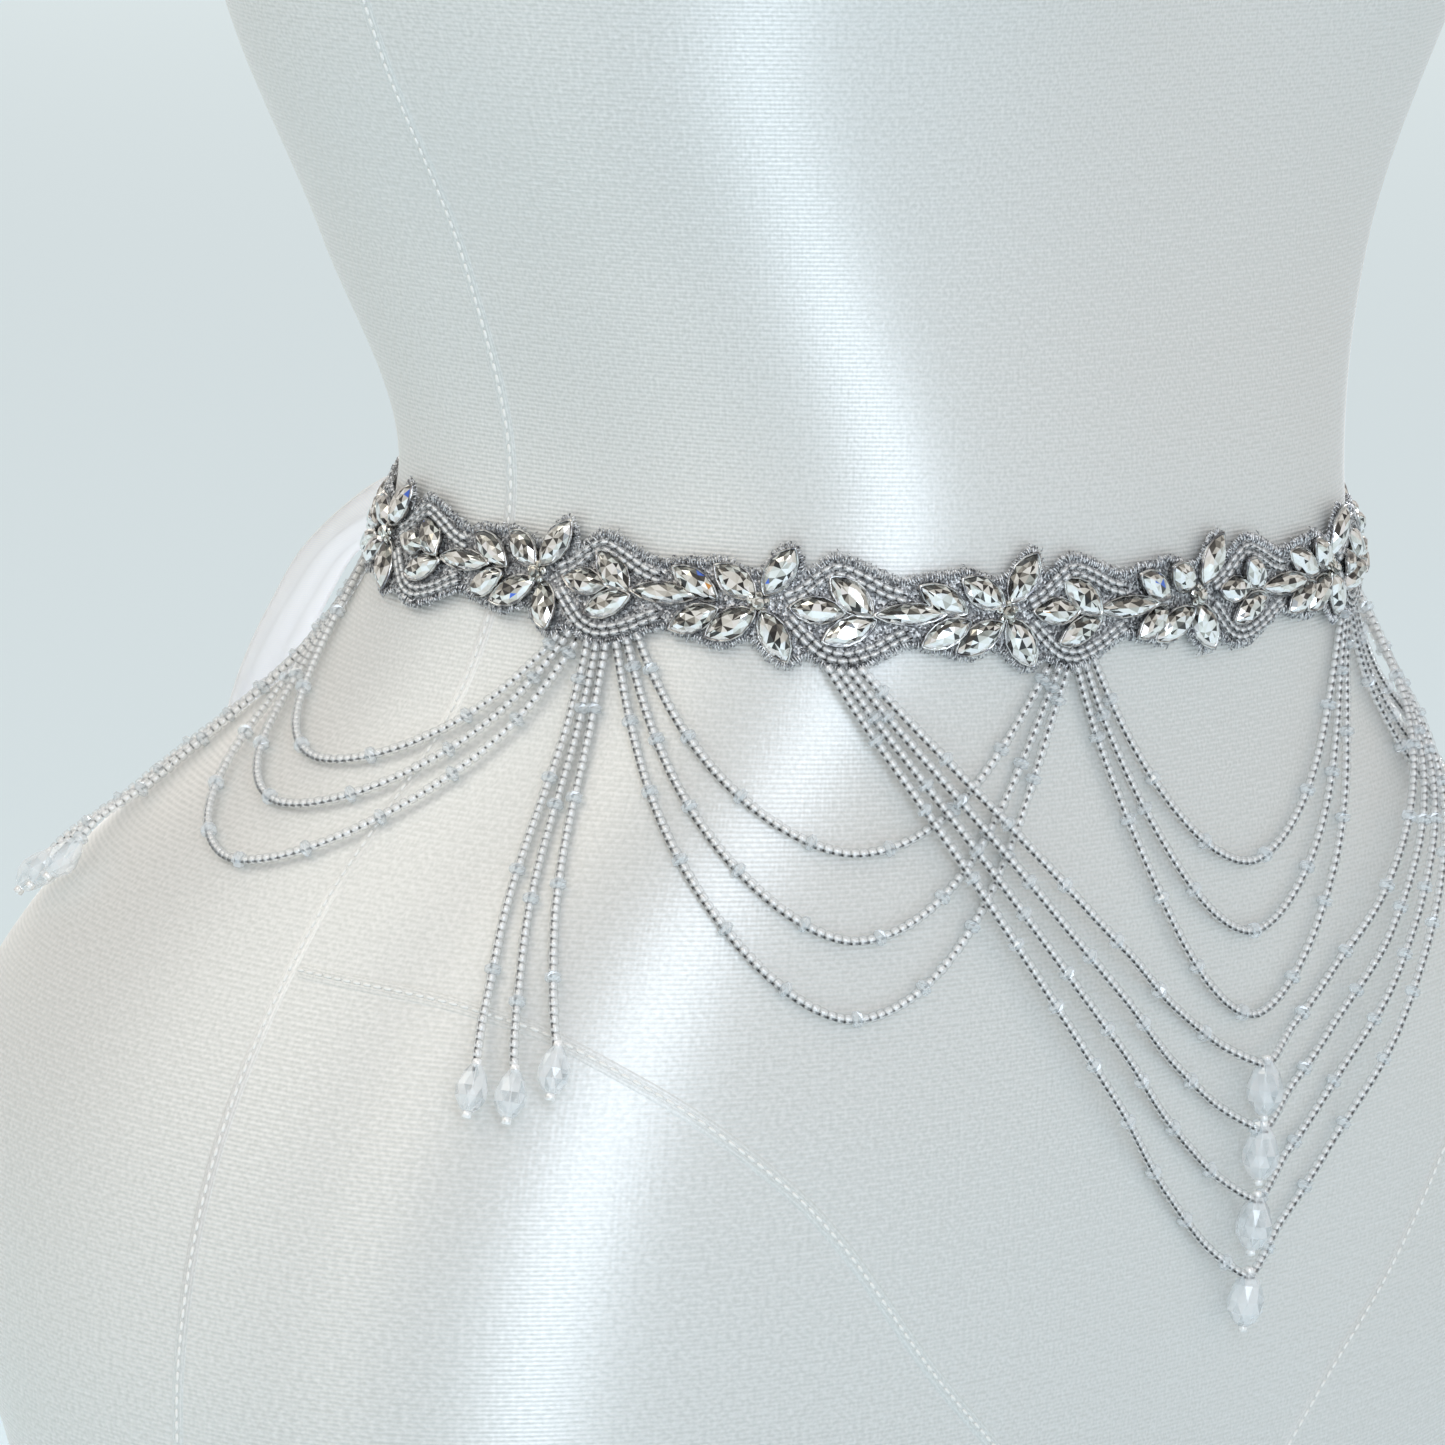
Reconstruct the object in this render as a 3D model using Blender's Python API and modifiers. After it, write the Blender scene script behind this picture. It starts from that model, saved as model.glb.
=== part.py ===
"""A jewelled bridal sash worn by a limbless dress form.

The sash is a belt of net applique set with stones, closed behind by a satin ribbon tied in a bow.
Beaded strands hang from its lower edge: swags, hanging tassels and one deep drape at the front.
Metres, +Z up. The origin is the middle of the form's flat base. The front faces -Y.
"""

import bmesh
import bpy
import numpy as np
from mathutils import Matrix, Vector
from mathutils.geometry import delaunay_2d_cdt

CM = 0.01
MM = 0.001
GAP = 0.3 * MM


def table(columns, *rows):
    """A short table: one named array for each column."""
    return dict(zip(columns.split(), np.array(rows, float).T))


# Dress form: sections from the base to the neck, in centimetres from the waist
WAIST_HEIGHT = 28.5 * CM
FORM_SIDES = 56
FORM_POWER = 2.49
FORM = table(
    "height width front back",
    (-28.5, 17.0, 9.2, 10.4),
    (-22.0, 19.2, 10.1, 12.3),
    (-17.0, 19.7, 10.6, 13.7),
    (-12.0, 18.4, 10.9, 13.9),
    (-8.0, 15.8, 10.7, 12.4),
    (-4.0, 11.9, 10.2, 9.0),
    (0.0, 10.4, 10.3, 7.5),
    (5.0, 11.8, 9.8, 9.4),
    (10.0, 14.6, 9.8, 10.3),
    (16.0, 16.8, 9.9, 10.3),
    (21.0, 17.3, 9.8, 10.1),
    (27.0, 17.0, 9.2, 9.8),
    (32.0, 17.2, 8.0, 9.1),
    (35.0, 16.4, 6.9, 8.0),
    (37.0, 13.7, 6.2, 7.2),
    (38.6, 9.9, 5.8, 6.6),
    (40.2, 7.2, 5.4, 6.2),
    (42.0, 6.1, 5.2, 6.0),
    (46.0, 5.7, 5.1, 5.9),
)
# Soft swellings on both sides: angle from the front, height, how far out, and their spread
LOBES = table(
    "angle height out angle_spread height_spread",
    (38, 17.5, 3.6, 26, 5.5),
    (142, -13.5, 2.2, 26, 7.0),
)
# Heights of the rings that the form's solid is made of, in centimetres from the waist
FORM_RINGS = (-28.1, -26, -23, -20, -17, -14.8, -12.8, -11.1, -9.6, -8.2, -6.8, -5.4, -4.0, -2.6, -1.2,
              0.2, 1.8, 3.8, 6, 8.5, 11, 13.5, 15.5, 17.5, 19.5, 22, 25, 28, 31, 33.2, 35, 36.6, 38,
              39.5, 41.5, 46)

# The base's share of the lowest ring, and the rings that round the neck's top, in millimetres above it
BASE_SHARE = 0.975
NECK_TOP = table("share rise", (0.93, 7), (0.6, 11))

# Belt line: a loop round the waist, a little lower at the front
BELT_HEIGHT = -1.2 * CM
BELT_DIP = 0.0325
SKIN_GAP = 0.5 * MM

# Applique: units of one flower, one diamond and a spray of leaves
UNIT = 53 * MM
FIRST_UNIT = -1
LAST_UNIT = 9
FLOWER_AT = -3.5 * MM
FLOWER_NUMBER = 4
WALL = 1.5 * MM
WALL_GAP = 0.85 * MM
STONE_HEIGHT = 2.6 * MM
BAND_HEIGHT = 1.2 * MM
# Stones of a unit, in millimetres from its flower: the two tips and the width
STONES = table(
    "x0 y0 x1 y1 width",
    (-9.8, 6.0, -2.0, 1.2, 4.6),
    (1.0, 2.2, 6.0, 10.8, 4.6),
    (-10.8, -8.2, -2.2, -3.0, 4.6),
    (0.2, -3.0, 5.2, -11.6, 4.6),
    (7.0, -0.6, 16.5, -1.0, 4.2),
    (15.0, 5.4, 22.5, -1.0, 4.6),
    (13.5, -7.0, 22.8, -3.0, 4.2),
    (24.5, -1.4, 37.6, -0.9, 3.4),
    (34.2, 5.0, 43.0, 0.2, 4.2),
    (34.5, -7.2, 43.0, -2.8, 4.2),
)
DIAMOND_STONES = 7
# A stone seen from outside: shares of its length and of half its width, on its rim and on its crest
STONE_RIM = table("along across", (0, 0), (0.3, -1), (0.7, -1), (1, 0), (0.7, 1), (0.3, 1))
STONE_CREST = table("along across", (0.34, 0), (0.66, 0))
# Bands of seed beads that frame the diamond, above and below
UPPER_BAND = table("x y", (5.0, 0.9), (8.4, 2.6), (12.2, 5.8), (15.8, 7.6), (20.7, 6.1), (26.0, 3.6),
                   (31.0, 2.3))
LOWER_BAND = table("x y", (5.6, -3.2), (8.8, -6.4), (12.8, -9.6), (17.5, -10.6), (23.5, -8.8), (28.0, -6.3),
                   (31.2, -5.0))
BAND_WIDTH = 2.6
BOSS_WIDTH = 3.0
BOSS_AT = np.array([-0.6, -0.6])
BOSS_SIDES = 6
BOSS_TURN = 18
# Scalloped outline of a unit, above and below
TOP_EDGE = table("x y", (-12.0, 7.4), (-9.4, 8.6), (-1.2, 5.0), (3.2, 11.6), (6.4, 12.6), (7.8, 10.2),
                 (8.8, 6.0), (13.4, 10.2), (16.2, 10.8), (23.0, 8.4), (29.8, 5.4), (34.4, 7.2))
BOTTOM_EDGE = table("x y", (-13.0, -9.4), (-10.2, -10.6), (-6.2, -9.8), (-2.6, -7.4), (2.4, -12.6),
                    (5.4, -13.6), (7.6, -12.2), (9.6, -10.6), (13.0, -12.8), (17.0, -13.6),
                    (21.0, -12.8), (26.0, -10.0), (31.8, -7.2), (35.0, -8.8))
START_EDGE = table("x y", (-13.8, -4.0), (-12.0, 0.0), (-13.0, 4.0))
END_EDGE = table("x y", (33.0, 2.0), (34.0, -0.6), (33.0, -3.2))
UNIT_END = 30.0
# Points inside the plain inner face: their spacing and their height from the belt line
INNER_STEP = 9.0
INNER_LINE = -1.0

# Beaded strands: four-sided, in root strips parted from the applique's lower edge
ANCHOR_X = 17.0
SLOT = 2.2 * MM
STRAND_RADIUS = 0.9 * MM
STRAND_OUT = 1.9 * MM
CROSSING_OUT = 4.4 * MM
DROP_OUT = 4.9 * MM
STRAND_STEP = 10 * MM
STRIP_HEIGHT = 2.6 * MM
STRIP_WALL = 2.2 * MM
# A strand leaves its strip's middle between these falls, and rises to its drop over these lengths
LEAVE_FROM = 0.6 * MM
LEAVE_TO = 3.5 * MM
DROP_RISE_FROM = 22 * MM
DROP_RISE_TO = 2 * MM
DRIFT_POWER = 1.5
# Slots beside an anchor: a tassel's three strands, the first of a swag, and the drape's four
TASSEL_SLOTS = (-1, 0, 1)
SWAG_SLOT_BY_TASSEL = 2
SWAG_SLOT = 0.5
DRAPE_SLOTS = (-1.5, -0.5, 0.5, 1.5)
# Swags: the diamonds that they hang between, and how low each strand hangs, in millimetres
SWAGS = table(
    "first last inner middle outer",
    (-1, 1, 53, 66, 82),
    (1, 3, 52, 70, 86),
    (3, 5, 60, 75, 93),
    (5, 7, 52, 70, 86),
    (7, 9, 53, 66, 82),
)
SWAG_POWER = 1.8
# Tassels: the diamond, and the lengths and sideways drifts of the three strands, in millimetres
TASSELS = table(
    "diamond left middle right drift_left drift_middle drift_right",
    (-1, 108, 104, 99, 3.5, 8.3, 13.1),
    (1, 113, 112, 105, 3.5, 8.3, 13.1),
    (7, 105, 112, 113, -13.1, -8.3, -3.5),
    (9, 99, 104, 108, -13.1, -8.3, -3.5),
)
# Front drape: the depths of its four strands, in millimetres
DRAPE_FIRST = 2
DRAPE_LAST = 6
DRAPE_DEPTHS = (150, 133, 117.5, 103.5)
DRAPE_POWER = 1.28
# Shares of the half width between which the drape rises over the swags, and within which it lifts its drops
DRAPE_OVER = (0.25, 0.42)
DRAPE_POINT = 0.13
DROP_LENGTH = 11 * MM
DROP_RADIUS = 3.4 * MM
DROP_GRIP = 1.8 * MM
DROP_TURN = 11
DROP_TAPER = 0.32
DROP_WIDEST = -0.3

# Ribbon: satin, gathered to a bow at the back
RIBBON_WALL = 1.0 * MM
RIBBON_WIDTH = 25.0
RIBBON_CROWN = 1.2 * MM
RIBBON_LEVEL = -1 * MM
RIBBON_GAP = 0.4 * MM
RIBBON_GATHER = 10.0
RIBBON_CRINKLE = 0.4 * MM
# Rows of a loop's table over which its width turns from upright at the knot to level
RIBBON_TURN = 4.0
# How far a loop's outer edge leans in towards the form, as a share of its width
LOOP_LEAN = 0.22
KNOT = (22 * MM, 14 * MM, 20 * MM)
KNOT_ROUND = 5 * MM
KNOT_CLEARANCE = 1.2 * MM
TAIL_SLANT = 9
# Routes from the knot's inner face, in millimetres: sideways, out and up, then the ribbon's width
LOOP_RIGHT = table(
    "side out up width",
    (12.6, 9, -3, 12),
    (21, 15, -6, 15),
    (29, 26, -11, 20),
    (34.5, 37, -20, 25),
    (36, 46, -33, 25),
    (36.5, 54, -47, 25),
    (36.5, 59.5, -60, 25),
    (37, 61.5, -70, 25),
    (35, 58, -72.5, 25),
    (32, 51, -62, 25),
    (29, 39.5, -45, 25),
    (25, 27, -28, 23),
    (19.5, 14, -11.5, 17),
    (12.6, 5, -3, 12),
)
LOOP_LEFT = table(
    "side out up width",
    (12.6, 9, -1, 12),
    (23, 16, 0, 17),
    (34, 27, -5, 22),
    (41, 38, -15, 25),
    (45, 47, -30, 25),
    (48, 54, -45, 25),
    (49, 59, -58, 25),
    (48, 60, -66, 25),
    (43.5, 55, -66, 25),
    (40, 48, -55, 25),
    (35, 38, -39, 25),
    (28, 26, -23, 23),
    (20, 13.5, -10, 17),
    (12.6, 5, -3, 12),
)
TAIL_RIGHT = table(
    "side out up width",
    (5.5, 7, -10.8, 9),
    (8, 16, -25, 13),
    (13, 36, -52, 21),
    (18, 60, -84, 25),
    (22, 72, -122, 25),
    (25, 69, -165, 25),
    (23, 60, -212, 25),
)
TAIL_LEFT = table(
    "side out up width",
    (5.5, 7, -10.8, 9),
    (8, 17, -26, 13),
    (14, 38, -54, 21),
    (20, 61, -86, 25),
    (26, 72, -124, 25),
    (26, 69, -160, 25),
    (30, 63, -190, 25),
)

# Colours, roughness and metallic value of each finish
FINISHES = {
    "cover_satin": ((0.80, 0.79, 0.74), 0.35, 0.0),
    "net": ((0.42, 0.43, 0.46), 0.45, 0.3),
    "beads": ((0.78, 0.78, 0.76), 0.15, 0.2),
    "ribbon_satin": ((0.92, 0.93, 0.95), 0.3, 0.0),
}


def smooth(rows, key, column, at):
    """A smooth curve through one column: cubic pieces whose slopes are averages of their neighbours'."""
    x, y = rows[key], rows[column]
    step = np.diff(x)
    rise = np.diff(y) / step
    slope = np.empty(len(x))
    slope[1:-1] = (rise[:-1] * step[1:] + rise[1:] * step[:-1]) / (step[1:] + step[:-1])
    slope[0] = rise[0]
    slope[-1] = rise[-1]
    i = np.clip(np.searchsorted(x, at) - 1, 0, len(x) - 2)
    u = (np.clip(at, x[0], x[-1]) - x[i]) / step[i]
    start = (2 * u**3 - 3 * u**2 + 1) * y[i] + (u**3 - 2 * u**2 + u) * step[i] * slope[i]
    return start + (3 * u**2 - 2 * u**3) * y[i + 1] + (u**3 - u**2) * step[i] * slope[i + 1]


def soft_step(low, high, at):
    """0 below low, 1 above high, and a smooth rise between."""
    u = np.clip((at - low) / (high - low), 0, 1)
    return u * u * (3 - 2 * u)


def radius(angle, height):
    """The form's radius at an angle from the front, towards +X, and a height in centimetres."""
    width = smooth(FORM, "height", "width", height)
    front = smooth(FORM, "height", "front", height)
    depth = np.where(np.cos(angle) > 0, front, smooth(FORM, "height", "back", height))
    sides = np.abs(np.cos(angle) / depth) ** FORM_POWER + np.abs(np.sin(angle) / width) ** FORM_POWER
    total = sides ** (-1 / FORM_POWER)
    for lobe_angle, lobe_height, out, angle_spread, height_spread in zip(*LOBES.values()):
        for side in (-1, 1):
            turn = (angle - side * np.radians(lobe_angle) + np.pi) % (2 * np.pi) - np.pi
            away = (turn / np.radians(angle_spread)) ** 2 + ((height - lobe_height) / height_spread) ** 2
            total = total + out * np.exp(-away)
    return total


def surface(angle, height, out=0.0):
    """Points on the form, moved out along its normal. Heights are in metres from the base."""
    angle, height, out = np.broadcast_arrays(angle, height, out)

    def bare(turn, rise):
        reach = radius(turn, (rise - WAIST_HEIGHT) / CM) * CM
        return np.stack([reach * np.sin(turn), -reach * np.cos(turn), rise], -1)

    turn_step, rise_step = 1e-3, 0.5 * MM
    across = bare(angle + turn_step, height) - bare(angle - turn_step, height)
    upward = bare(angle, height + rise_step) - bare(angle, height - rise_step)
    normal = np.cross(across, upward)
    normal /= np.linalg.norm(normal, axis=-1, keepdims=True)
    return bare(angle, height) + normal * out[..., None]


def belt_height(angle):
    """The belt line's height at each angle: level across, lower where the form comes forward."""
    level = WAIST_HEIGHT + BELT_HEIGHT
    return level + BELT_DIP * surface(angle, level + 0 * angle)[..., 1]


TURNS = np.linspace(-np.pi, np.pi, 361)
BELT_LOOP = surface(TURNS, belt_height(TURNS), 3 * MM)
BELT_ARC = np.concatenate([[0], np.cumsum(np.linalg.norm(np.diff(BELT_LOOP, axis=0), axis=1))])
BELT_ARC -= np.interp(0, TURNS, BELT_ARC)
BELT_LENGTH = BELT_ARC[-1] - BELT_ARC[0]
RISES = np.linspace(WAIST_HEIGHT - 26 * CM, WAIST_HEIGHT + 6 * CM, 161)
PROFILES = surface(TURNS[:, None], RISES[None, :])
CLIMB_STEPS = np.linalg.norm(np.diff(PROFILES, axis=1), axis=2)
CLIMB = np.concatenate([0 * TURNS[:, None], np.cumsum(CLIMB_STEPS, axis=1)], 1)
CLIMB -= np.array([np.interp(h, RISES, row) for h, row in zip(belt_height(TURNS), CLIMB)])[:, None]


def place(along, up, out):
    """Points on the form from the distance along the belt line, up the form from it, and out."""
    along, up, out = np.broadcast_arrays(np.asarray(along, float), up, out)
    around = (along - BELT_ARC[0]) % BELT_LENGTH + BELT_ARC[0]
    angle = np.interp(around, BELT_ARC, TURNS)
    column = np.clip((angle + np.pi) / (TURNS[1] - TURNS[0]), 0, len(TURNS) - 1.001)
    height = np.empty(along.shape)
    for i in np.ndindex(along.shape):
        low = int(column[i])
        share = column[i] - low
        climb = CLIMB[low] * (1 - share) + CLIMB[low + 1] * share
        height[i] = np.interp(up[i], climb, RISES)
    return surface(angle, height, out)


def new_object(name, mesh, finish):
    """An object of the sash's collection with its own material."""
    colour, roughness, metallic = FINISHES[finish]
    material = bpy.data.materials.new(name + "_" + finish)
    material.use_nodes = True
    shader = material.node_tree.nodes["Principled BSDF"]
    shader.inputs["Base Color"].default_value = (*colour, 1)
    shader.inputs["Roughness"].default_value = roughness
    shader.inputs["Metallic"].default_value = metallic
    material.diffuse_color = (*colour, 1)
    mesh.materials.clear()
    mesh.materials.append(material)
    obj = bpy.data.objects.new(name, mesh)
    PARTS.objects.link(obj)
    return obj


def loft(rings):
    """A closed mesh through rings of equally many points, with a flat face on each end."""
    count, sides = rings.shape[:2]
    mesh = bpy.data.meshes.new("loft")
    faces = []
    for i in range(count - 1):
        for j in range(sides):
            k = (j + 1) % sides
            faces.append((i * sides + j, i * sides + k, (i + 1) * sides + k, (i + 1) * sides + j))
    faces.append(tuple(range(sides))[::-1])
    faces.append(tuple(range((count - 1) * sides, count * sides)))
    mesh.from_pydata(rings.reshape(-1, 3).tolist(), [], faces)
    outward(mesh)
    return mesh


def outward(mesh):
    """Turns every face of a closed mesh outwards."""
    work = bmesh.new()
    work.from_mesh(mesh)
    bmesh.ops.recalc_face_normals(work, faces=work.faces)
    work.to_mesh(mesh)
    work.free()


def evaluated_mesh(obj):
    """The mesh of an object with its modifiers applied, its loose caps welded, in world space."""
    bpy.context.view_layer.update()
    shown = obj.evaluated_get(bpy.context.evaluated_depsgraph_get())
    mesh = bpy.data.meshes.new_from_object(shown)
    mesh.transform(obj.matrix_world)
    work = bmesh.new()
    work.from_mesh(mesh)
    bmesh.ops.remove_doubles(work, verts=work.verts, dist=0.01 * MM)
    work.to_mesh(mesh)
    work.free()
    return mesh


def joined(first, others):
    """One closed mesh from meshes that reach into each other."""
    base = bpy.data.objects.new("base", first)
    HELPERS.objects.link(base)
    helpers = [base]
    for i, mesh in enumerate(others):
        tool = bpy.data.objects.new("tool", mesh)
        HELPERS.objects.link(tool)
        tool.hide_render = True
        tool.display_type = "WIRE"
        helpers.append(tool)
        union = base.modifiers.new("union%d" % i, "BOOLEAN")
        union.operation = "UNION"
        union.solver = "EXACT"
        union.object = tool
    result = evaluated_mesh(base)
    for obj in helpers:
        bpy.data.objects.remove(obj)
    return result


def tube(points):
    """A four-sided strand through points, with filled ends."""
    curve = bpy.data.curves.new("strand", "CURVE")
    curve.dimensions = "3D"
    curve.bevel_depth = STRAND_RADIUS
    curve.bevel_resolution = 0
    curve.use_fill_caps = True
    spline = curve.splines.new("POLY")
    spline.points.add(len(points) - 1)
    for point, position in zip(spline.points, points):
        point.co = (*position, 1)
    obj = bpy.data.objects.new("strand", curve)
    HELPERS.objects.link(obj)
    mesh = evaluated_mesh(obj)
    outward(mesh)
    bpy.data.objects.remove(obj)
    return mesh


def evenly(points, step):
    """The same path with an even number of equal steps, so a point falls on its middle."""
    run = np.concatenate([[0], np.cumsum(np.linalg.norm(np.diff(points, axis=0), axis=1))])
    at = np.linspace(0, run[-1], 2 * int(round(run[-1] / step / 2)) + 1)
    return np.stack([np.interp(at, run, points[:, i]) for i in range(3)], -1)


def flower_at(unit):
    """The distance along the belt line of a unit's flower."""
    return FLOWER_AT + UNIT * (unit - FLOWER_NUMBER)


def anchor_at(unit):
    """The distance along the belt line of the foot of a unit's diamond."""
    return flower_at(unit) + ANCHOR_X * MM


def edge_drop(x):
    """How far the applique's lower edge hangs below the belt line, x millimetres from its flower."""
    return -np.interp(x, BOTTOM_EDGE["x"], BOTTOM_EDGE["y"]) * MM


def dress_form():
    """The form's torso: rings from the flat base to the neck, with rounded ends."""
    angles = np.linspace(-np.pi, np.pi, FORM_SIDES, endpoint=False)
    heights = WAIST_HEIGHT + np.array(FORM_RINGS) * CM
    rings = surface(angles[None, :], heights[:, None])
    base = rings[:1] * (BASE_SHARE, BASE_SHARE, 0)
    neck = [rings[-1:] * (share, share, 1) + (0, 0, rise * MM) for share, rise in zip(*NECK_TOP.values())]
    obj = new_object("dress_form", loft(np.concatenate([base, rings] + neck)), "cover_satin")
    obj.data.shade_smooth()


def outline():
    """The applique's edge as one loop of points, in millimetres along and up from the belt line."""
    loop = []
    for unit in range(FIRST_UNIT, LAST_UNIT + 1):
        start = flower_at(unit) / MM
        last = unit == LAST_UNIT
        loop += [(start + x, y) for x, y in zip(*BOTTOM_EDGE.values()) if not last or x < UNIT_END]
    end = flower_at(LAST_UNIT) / MM
    loop += [(end + x, y) for x, y in zip(*END_EDGE.values())][::-1]
    for unit in range(LAST_UNIT, FIRST_UNIT - 1, -1):
        start = flower_at(unit) / MM
        last = unit == LAST_UNIT
        rows = [(start + x, y) for x, y in zip(*TOP_EDGE.values()) if not last or x < UNIT_END]
        loop += rows[::-1]
    start = flower_at(FIRST_UNIT) / MM
    loop += [(start + x, y) for x, y in zip(*START_EDGE.values())][::-1]
    return np.array(loop)


def stone_points(x0, y0, x1, y1, width):
    """A pointed oval: six points on its rim and two on its crest, with each point's share of the height."""
    tip = np.array([x0, y0])
    along = np.array([x1, y1]) - tip
    across = np.array([-along[1], along[0]]) / np.linalg.norm(along) * width / 2
    rim = [tip + along * u + across * v for u, v in zip(*STONE_RIM.values())]
    crest = [tip + along * u + across * v for u, v in zip(*STONE_CREST.values())]
    return rim, crest


def band_points(rows):
    """A raised band along a line: its two sides as one rim, and its crest."""
    line = np.stack([rows["x"], rows["y"]], -1)
    run = np.gradient(line, axis=0)
    side = np.stack([-run[:, 1], run[:, 0]], -1)
    side *= BAND_WIDTH / 2 / np.linalg.norm(side, axis=1, keepdims=True)
    return list(line - side) + list((line + side)[::-1]), list(line[1:-1])


def boss_points():
    """The round cluster of beads at a flower's middle."""
    turns = np.radians(np.arange(BOSS_SIDES) * 360 / BOSS_SIDES + BOSS_TURN)
    rim = BOSS_AT + np.stack([np.cos(turns), np.sin(turns)], -1) * BOSS_WIDTH / 2
    return list(rim), [BOSS_AT]


def applique():
    """The jewelled net: a wall with a plain inside, its outer points raised into stones and bead bands."""
    edge = outline()
    points = [tuple(p) for p in edge]
    heights = [0.0] * len(edge)
    loops = []
    for unit in range(FIRST_UNIT, LAST_UNIT + 1):
        start = np.array([flower_at(unit) / MM, 0])
        count = DIAMOND_STONES if unit == LAST_UNIT else len(STONES["x0"])
        shapes = [(stone_points(*row), STONE_HEIGHT) for row in list(zip(*STONES.values()))[:count]]
        bands = [UPPER_BAND, LOWER_BAND]
        if unit == LAST_UNIT:
            bands = [{key: column[:-1] for key, column in band.items()} for band in bands]
        shapes += [(band_points(band), BAND_HEIGHT) for band in bands]
        shapes.append((boss_points(), STONE_HEIGHT))
        for (rim, crest), height in shapes:
            loops.append(range(len(points), len(points) + len(rim)))
            points += [tuple(start + p) for p in rim] + [tuple(start + p) for p in crest]
            heights += [0.0] * len(rim) + [height] * len(crest)
    sides = [(i, (i + 1) % len(edge)) for i in range(len(edge))]
    rims = [(loop[i], loop[(i + 1) % len(loop)]) for loop in loops for i in range(len(loop))]
    middle = np.arange(flower_at(FIRST_UNIT) / MM, flower_at(LAST_UNIT) / MM + UNIT_END, INNER_STEP)
    plain = [tuple(p) for p in edge] + [(x, INNER_LINE) for x in middle]

    outer = triangles(points, sides + rims)
    inner = triangles(plain, sides)
    outer_points = place(*(np.array(points).T * MM), WALL_GAP + WALL + np.array(heights))
    inner_points = place(*(np.array(plain).T * MM), WALL_GAP)
    shift = len(points)
    faces = [tuple(face) for face in outer]
    faces += [tuple(shift + i for i in face[::-1]) for face in inner]
    faces += [(b, a, shift + a, shift + b) for a, b in sides]
    mesh = bpy.data.meshes.new("applique")
    mesh.from_pydata(np.concatenate([outer_points, inner_points]).tolist(), [], faces)
    outward(mesh)
    new_object("applique", mesh, "net")


def triangles(points, edges):
    """Triangles that fill the loop made by the edges, through all the points."""
    found = delaunay_2d_cdt([Vector(p) for p in points], edges, [], 1, 1e-5)
    if len(found[0]) != len(points):
        raise ValueError("the applique's outlines cross: %d points became %d" % (len(points), len(found[0])))
    original = [sources[0] for sources in found[3]]
    return [[original[i] for i in face] for face in found[2]]


def strip(anchor, first, last):
    """A root strip below the applique's edge, from one slot to another beside an anchor."""
    reach = SLOT / 2 - GAP / 2
    near = np.linspace(first * SLOT - reach, last * SLOT + reach, 5)
    top = -edge_drop(ANCHOR_X + near / MM) - GAP
    inside, outside = SKIN_GAP, SKIN_GAP + STRIP_WALL
    corners = [(top, inside), (top, outside), (top - STRIP_HEIGHT, outside), (top - STRIP_HEIGHT, inside)]
    return loft(np.stack([place(anchor + near, up, out) for up, out in corners], 1))


def root(slot):
    """How far below the belt line a strand starts, in the middle of its strip."""
    return edge_drop(ANCHOR_X + slot * SLOT / MM) + GAP + STRIP_HEIGHT / 2


def from_root(fall, out):
    """How far out a strand lies: in the middle of its strip's thickness first, then at its own distance."""
    share = soft_step(LEAVE_FROM, LEAVE_TO, fall)
    return (SKIN_GAP + STRIP_WALL / 2) * (1 - share) + out * share


def hanging(left, right, left_slot, right_slot, depth, power):
    """A strand between two roots: its drop is a power curve of the distance from its middle."""
    u = np.linspace(-1, 1, 161)
    start = anchor_at(left) + left_slot * SLOT
    end = anchor_at(right) + right_slot * SLOT
    along = (start + end) / 2 + (end - start) / 2 * u
    top = np.where(u < 0, root(left_slot), root(right_slot))
    return u, along, top + (depth * MM - top) * (1 - np.abs(u) ** power)


def hung_tube(along, drop, out):
    """A strand's tube on the form, from the root at each end."""
    fall = np.minimum(drop - drop[0], drop - drop[-1])
    return tube(evenly(place(along, -drop, from_root(fall, out)), STRAND_STEP))


def swag_slot(unit):
    """The slot of a swag's innermost strand: beside a tassel where there is one."""
    return SWAG_SLOT_BY_TASSEL if unit in TASSELS["diamond"] else SWAG_SLOT


def swags():
    """Swags of three strands, each from one diamond's foot to the next but one."""
    for number, (first, last, *depths) in enumerate(zip(*SWAGS.values()), 1):
        left, right = swag_slot(first), -swag_slot(last)
        tubes = []
        for i, depth in enumerate(depths[::-1]):
            u, along, drop = hanging(first, last, left + i, right - i, depth, SWAG_POWER)
            tubes.append(hung_tube(along, drop, STRAND_OUT))
        roots = strip(anchor_at(first), left, left + 2), strip(anchor_at(last), right - 2, right)
        new_object("swag_%d" % number, joined(roots[0], tubes + [roots[1]]), "beads")


def drop_bead(along, drop):
    """A faceted teardrop that hangs down the form from a strand's end."""
    work = bmesh.new()
    bmesh.ops.create_uvsphere(work, u_segments=8, v_segments=5, radius=1)
    for vert in work.verts:
        taper = (1 - DROP_TAPER * max(vert.co.z, DROP_WIDEST)) / (1 - DROP_TAPER * DROP_WIDEST)
        vert.co.x *= DROP_RADIUS * taper
        vert.co.y *= DROP_RADIUS * taper
        vert.co.z *= DROP_LENGTH / 2
    mesh = bpy.data.meshes.new("drop")
    work.to_mesh(mesh)
    work.free()
    top = Vector(place(along, -drop, DROP_OUT))
    middle = -drop - DROP_LENGTH / 2
    upward = (top - Vector(place(along, middle, DROP_OUT))).normalized()
    out = Vector(place(along, middle, 2 * DROP_OUT) - place(along, middle, DROP_OUT))
    centre = top - upward * (DROP_LENGTH / 2 - DROP_GRIP)
    across = upward.cross(out).normalized()
    turned = Matrix((across, upward.cross(across), upward)).transposed().to_4x4()
    mesh.transform(Matrix.Translation(centre) @ turned @ Matrix.Rotation(np.radians(DROP_TURN), 4, "Z"))
    return mesh


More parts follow.
